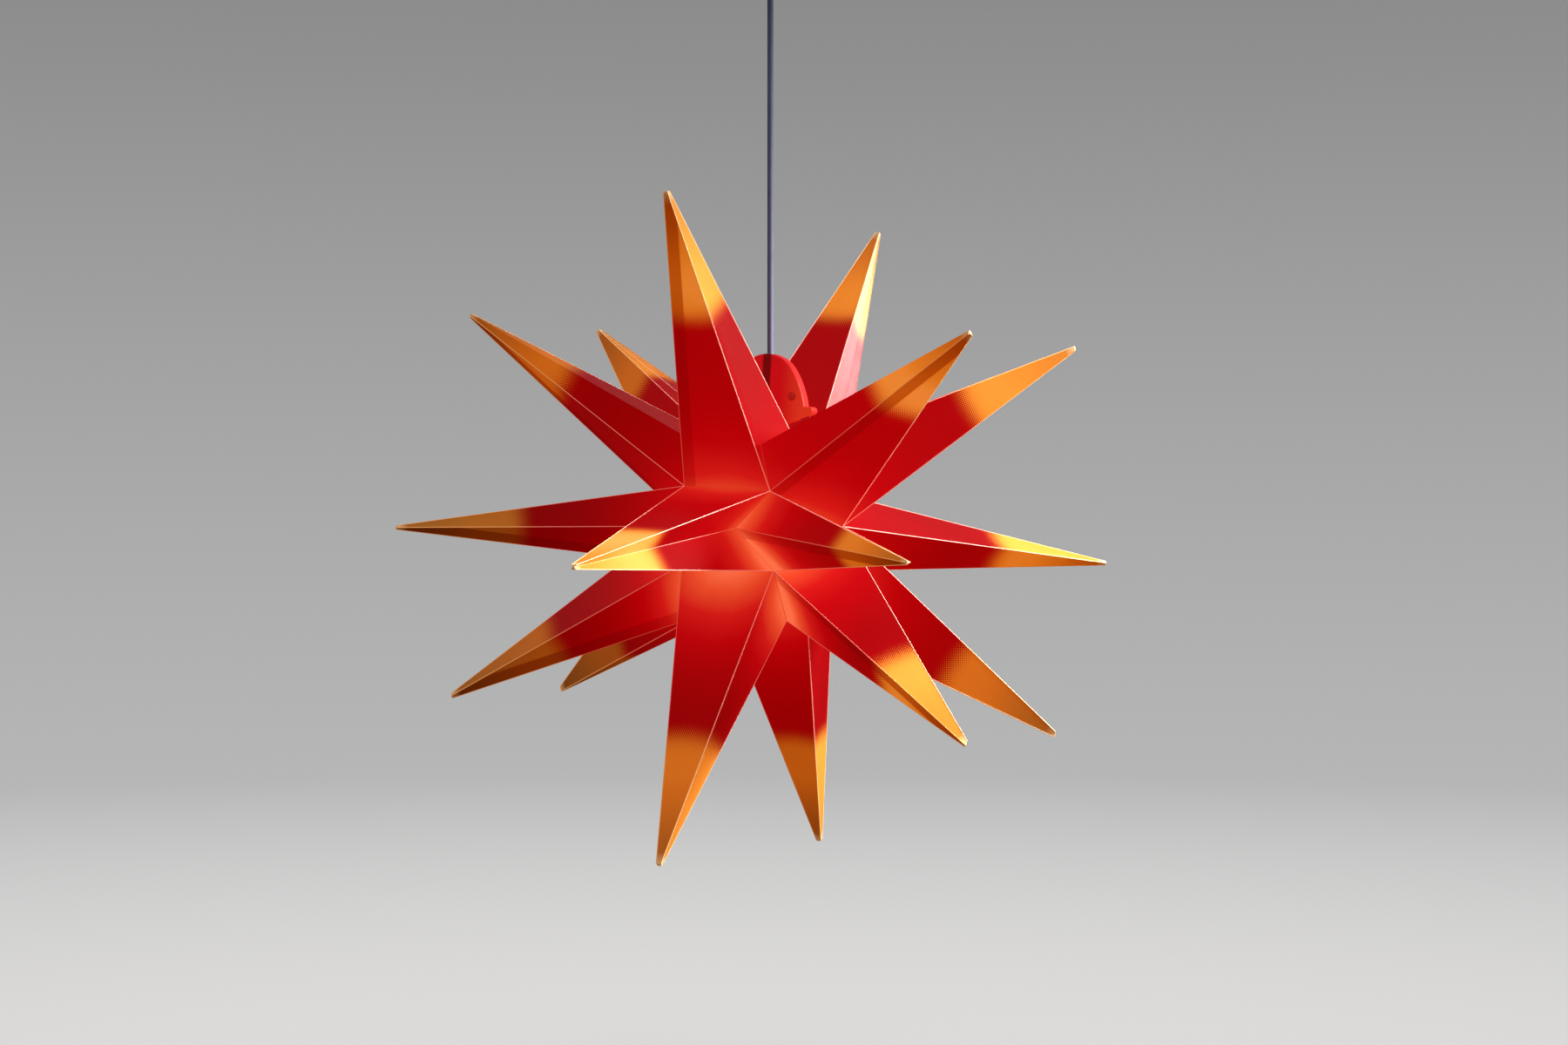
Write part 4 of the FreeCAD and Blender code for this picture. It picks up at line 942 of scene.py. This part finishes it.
def rolled_thread(name, body, node, levels, wall):
    """A thin shell turned from (height, radius, depth of thread) levels, with a round rolled
    thread. Heights are from the star's centre, so that two such threads mesh."""
    build = bmesh.new()
    foot, top = levels[0][0], levels[-1][0]
    heights = [foot + (top - foot) * step / THREAD_LEVELS for step in range(THREAD_LEVELS + 1)]

    def ring(height, inward):
        below = max((each for each in levels if each[0] <= height + 1e-9), key=lambda e: e[0])
        above = min((each for each in levels if each[0] >= height - 1e-9), key=lambda e: e[0])
        share = (height - below[0]) / (above[0] - below[0]) if above[0] > below[0] else 0.0
        radius = below[1] + (above[1] - below[1]) * share - inward
        depth = below[2] + (above[2] - below[2]) * share
        made = []
        for step in range(THREAD_SIDES):
            turn = step * math.tau / THREAD_SIDES
            wave = 0.5 - 0.5 * math.cos(math.tau * (height / THREAD_PITCH) - turn)
            reach = radius - depth * wave
            made.append(build.verts.new((reach * math.cos(turn), reach * math.sin(turn), height)))
        return made

    shell = [ring(height, 0.0) for height in heights]
    shell += [ring(height, wall) for height in reversed(heights)]
    for lower, upper in zip(shell, shell[1:] + shell[:1]):
        for step in range(THREAD_SIDES):
            following = (step + 1) % THREAD_SIDES
            build.faces.new((lower[step], lower[following], upper[following], upper[step]))
    bmesh.ops.recalc_face_normals(build, faces=build.faces)
    build.transform(HANG)
    mesh = bpy.data.meshes.new(name)
    build.to_mesh(mesh)
    build.free()
    mesh.shade_smooth()
    mesh.materials.append(nickel)
    made = link(bpy.data.objects.new(name, mesh))
    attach(made, body)
    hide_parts(node)


rolled_thread("sleeve_thread", "star", "screw_sleeve",
              [(0.009, 0.0076, 0.0), (0.0102, 0.0076, 0.0), (0.0112, 0.00755, 0.00022),
               (0.0240, 0.00755, 0.00022), (0.025, 0.0076, 0.0)], 0.00022)
rolled_thread("lamp_cap_thread", "bulb", "lamp_screw_cap",
              [(0.0020, 0.0069, 0.0), (0.0038, 0.0069, 0.0), (0.0048, 0.0069, 0.0007),
               (0.0155, 0.0069, 0.0007), (0.0167, 0.0069, 0.0), (0.0200, 0.0036, 0.0),
               (0.0210, 0.0026, 0.0)], 0.00025)
brass = finish_coat("contact_brass", (0.62, 0.42, 0.16), (0.74, 0.54, 0.24), 200.0, 0.28,
                    0.00001, metal=1.0)
coat(brass, "centre_contact", "lamp_tip_contact", "terminal_screws")

# LED lamp: a white plastic body with an opal globe that glows, over a round board of chips.
# Its plated screw cap is made above, with the sleeve that it screws into.
lamp_white = finish_coat("lamp_plastic", (0.80, 0.80, 0.79), (0.86, 0.86, 0.85), 60.0, 0.30,
                         0.00001)
coat(lamp_white, "lamp_body")
opal, opal_shader = shader("lamp_diffuser")
opal_tree = opal.node_tree
opal_tree.links.new(ramp(opal_tree, noise(opal_tree, 30.0), [(0.3, (1.0, 0.90, 0.74)),
                                                            (0.7, (1.0, 0.93, 0.80))]),
                    opal_shader.inputs["Emission Color"])
opal_shader.inputs["Emission Strength"].default_value = 2.2
opal_shader.inputs["Base Color"].default_value = (0.90, 0.88, 0.84, 1)
opal_shader.inputs["Roughness"].default_value = 0.45
coat(opal, "lamp_globe")
board_mask = finish_coat("led_board", (0.80, 0.80, 0.79), (0.86, 0.86, 0.85), 100.0, 0.40,
                         0.00001)
coat(board_mask, "led_board")
phosphor = finish_coat("led_emitter", (0.85, 0.62, 0.16), (0.95, 0.74, 0.22), 400.0, 0.35,
                       0.00001)
coat(phosphor, "led_chips")

# Ceiling rose: a painted pressed cup with a moulded cord grip in the same grey-blue. The cup
# hides a zinc-plated bracket and the moulded terminals that the cord's cores end in.
canopy_paint = finish_coat("canopy_paint", (0.20, 0.22, 0.30), (0.24, 0.265, 0.35), 24.0, 0.38,
                           0.00004)
coat(canopy_paint, "canopy_cup")
canopy_moulding = finish_coat("canopy_plastic", (0.17, 0.19, 0.27), (0.21, 0.23, 0.31), 60.0,
                              0.46, 0.00003)
coat(canopy_moulding, "cord_grip")
ribs("grip_ribs", "ceiling", canopy_moulding, 0.0094, 32, 0.00045,
     -0.0525, -0.0475)
terminal_moulding = finish_coat("terminal_plastic", (0.72, 0.71, 0.68), (0.80, 0.79, 0.76), 90.0,
                                0.42, 0.00002)
coat(terminal_moulding, "terminal_block")
core_skin = finish_coat("core_insulation", (0.10, 0.17, 0.40), (0.14, 0.22, 0.48), 200.0, 0.40,
                        0.00002)
coat(core_skin, "cord_cores")
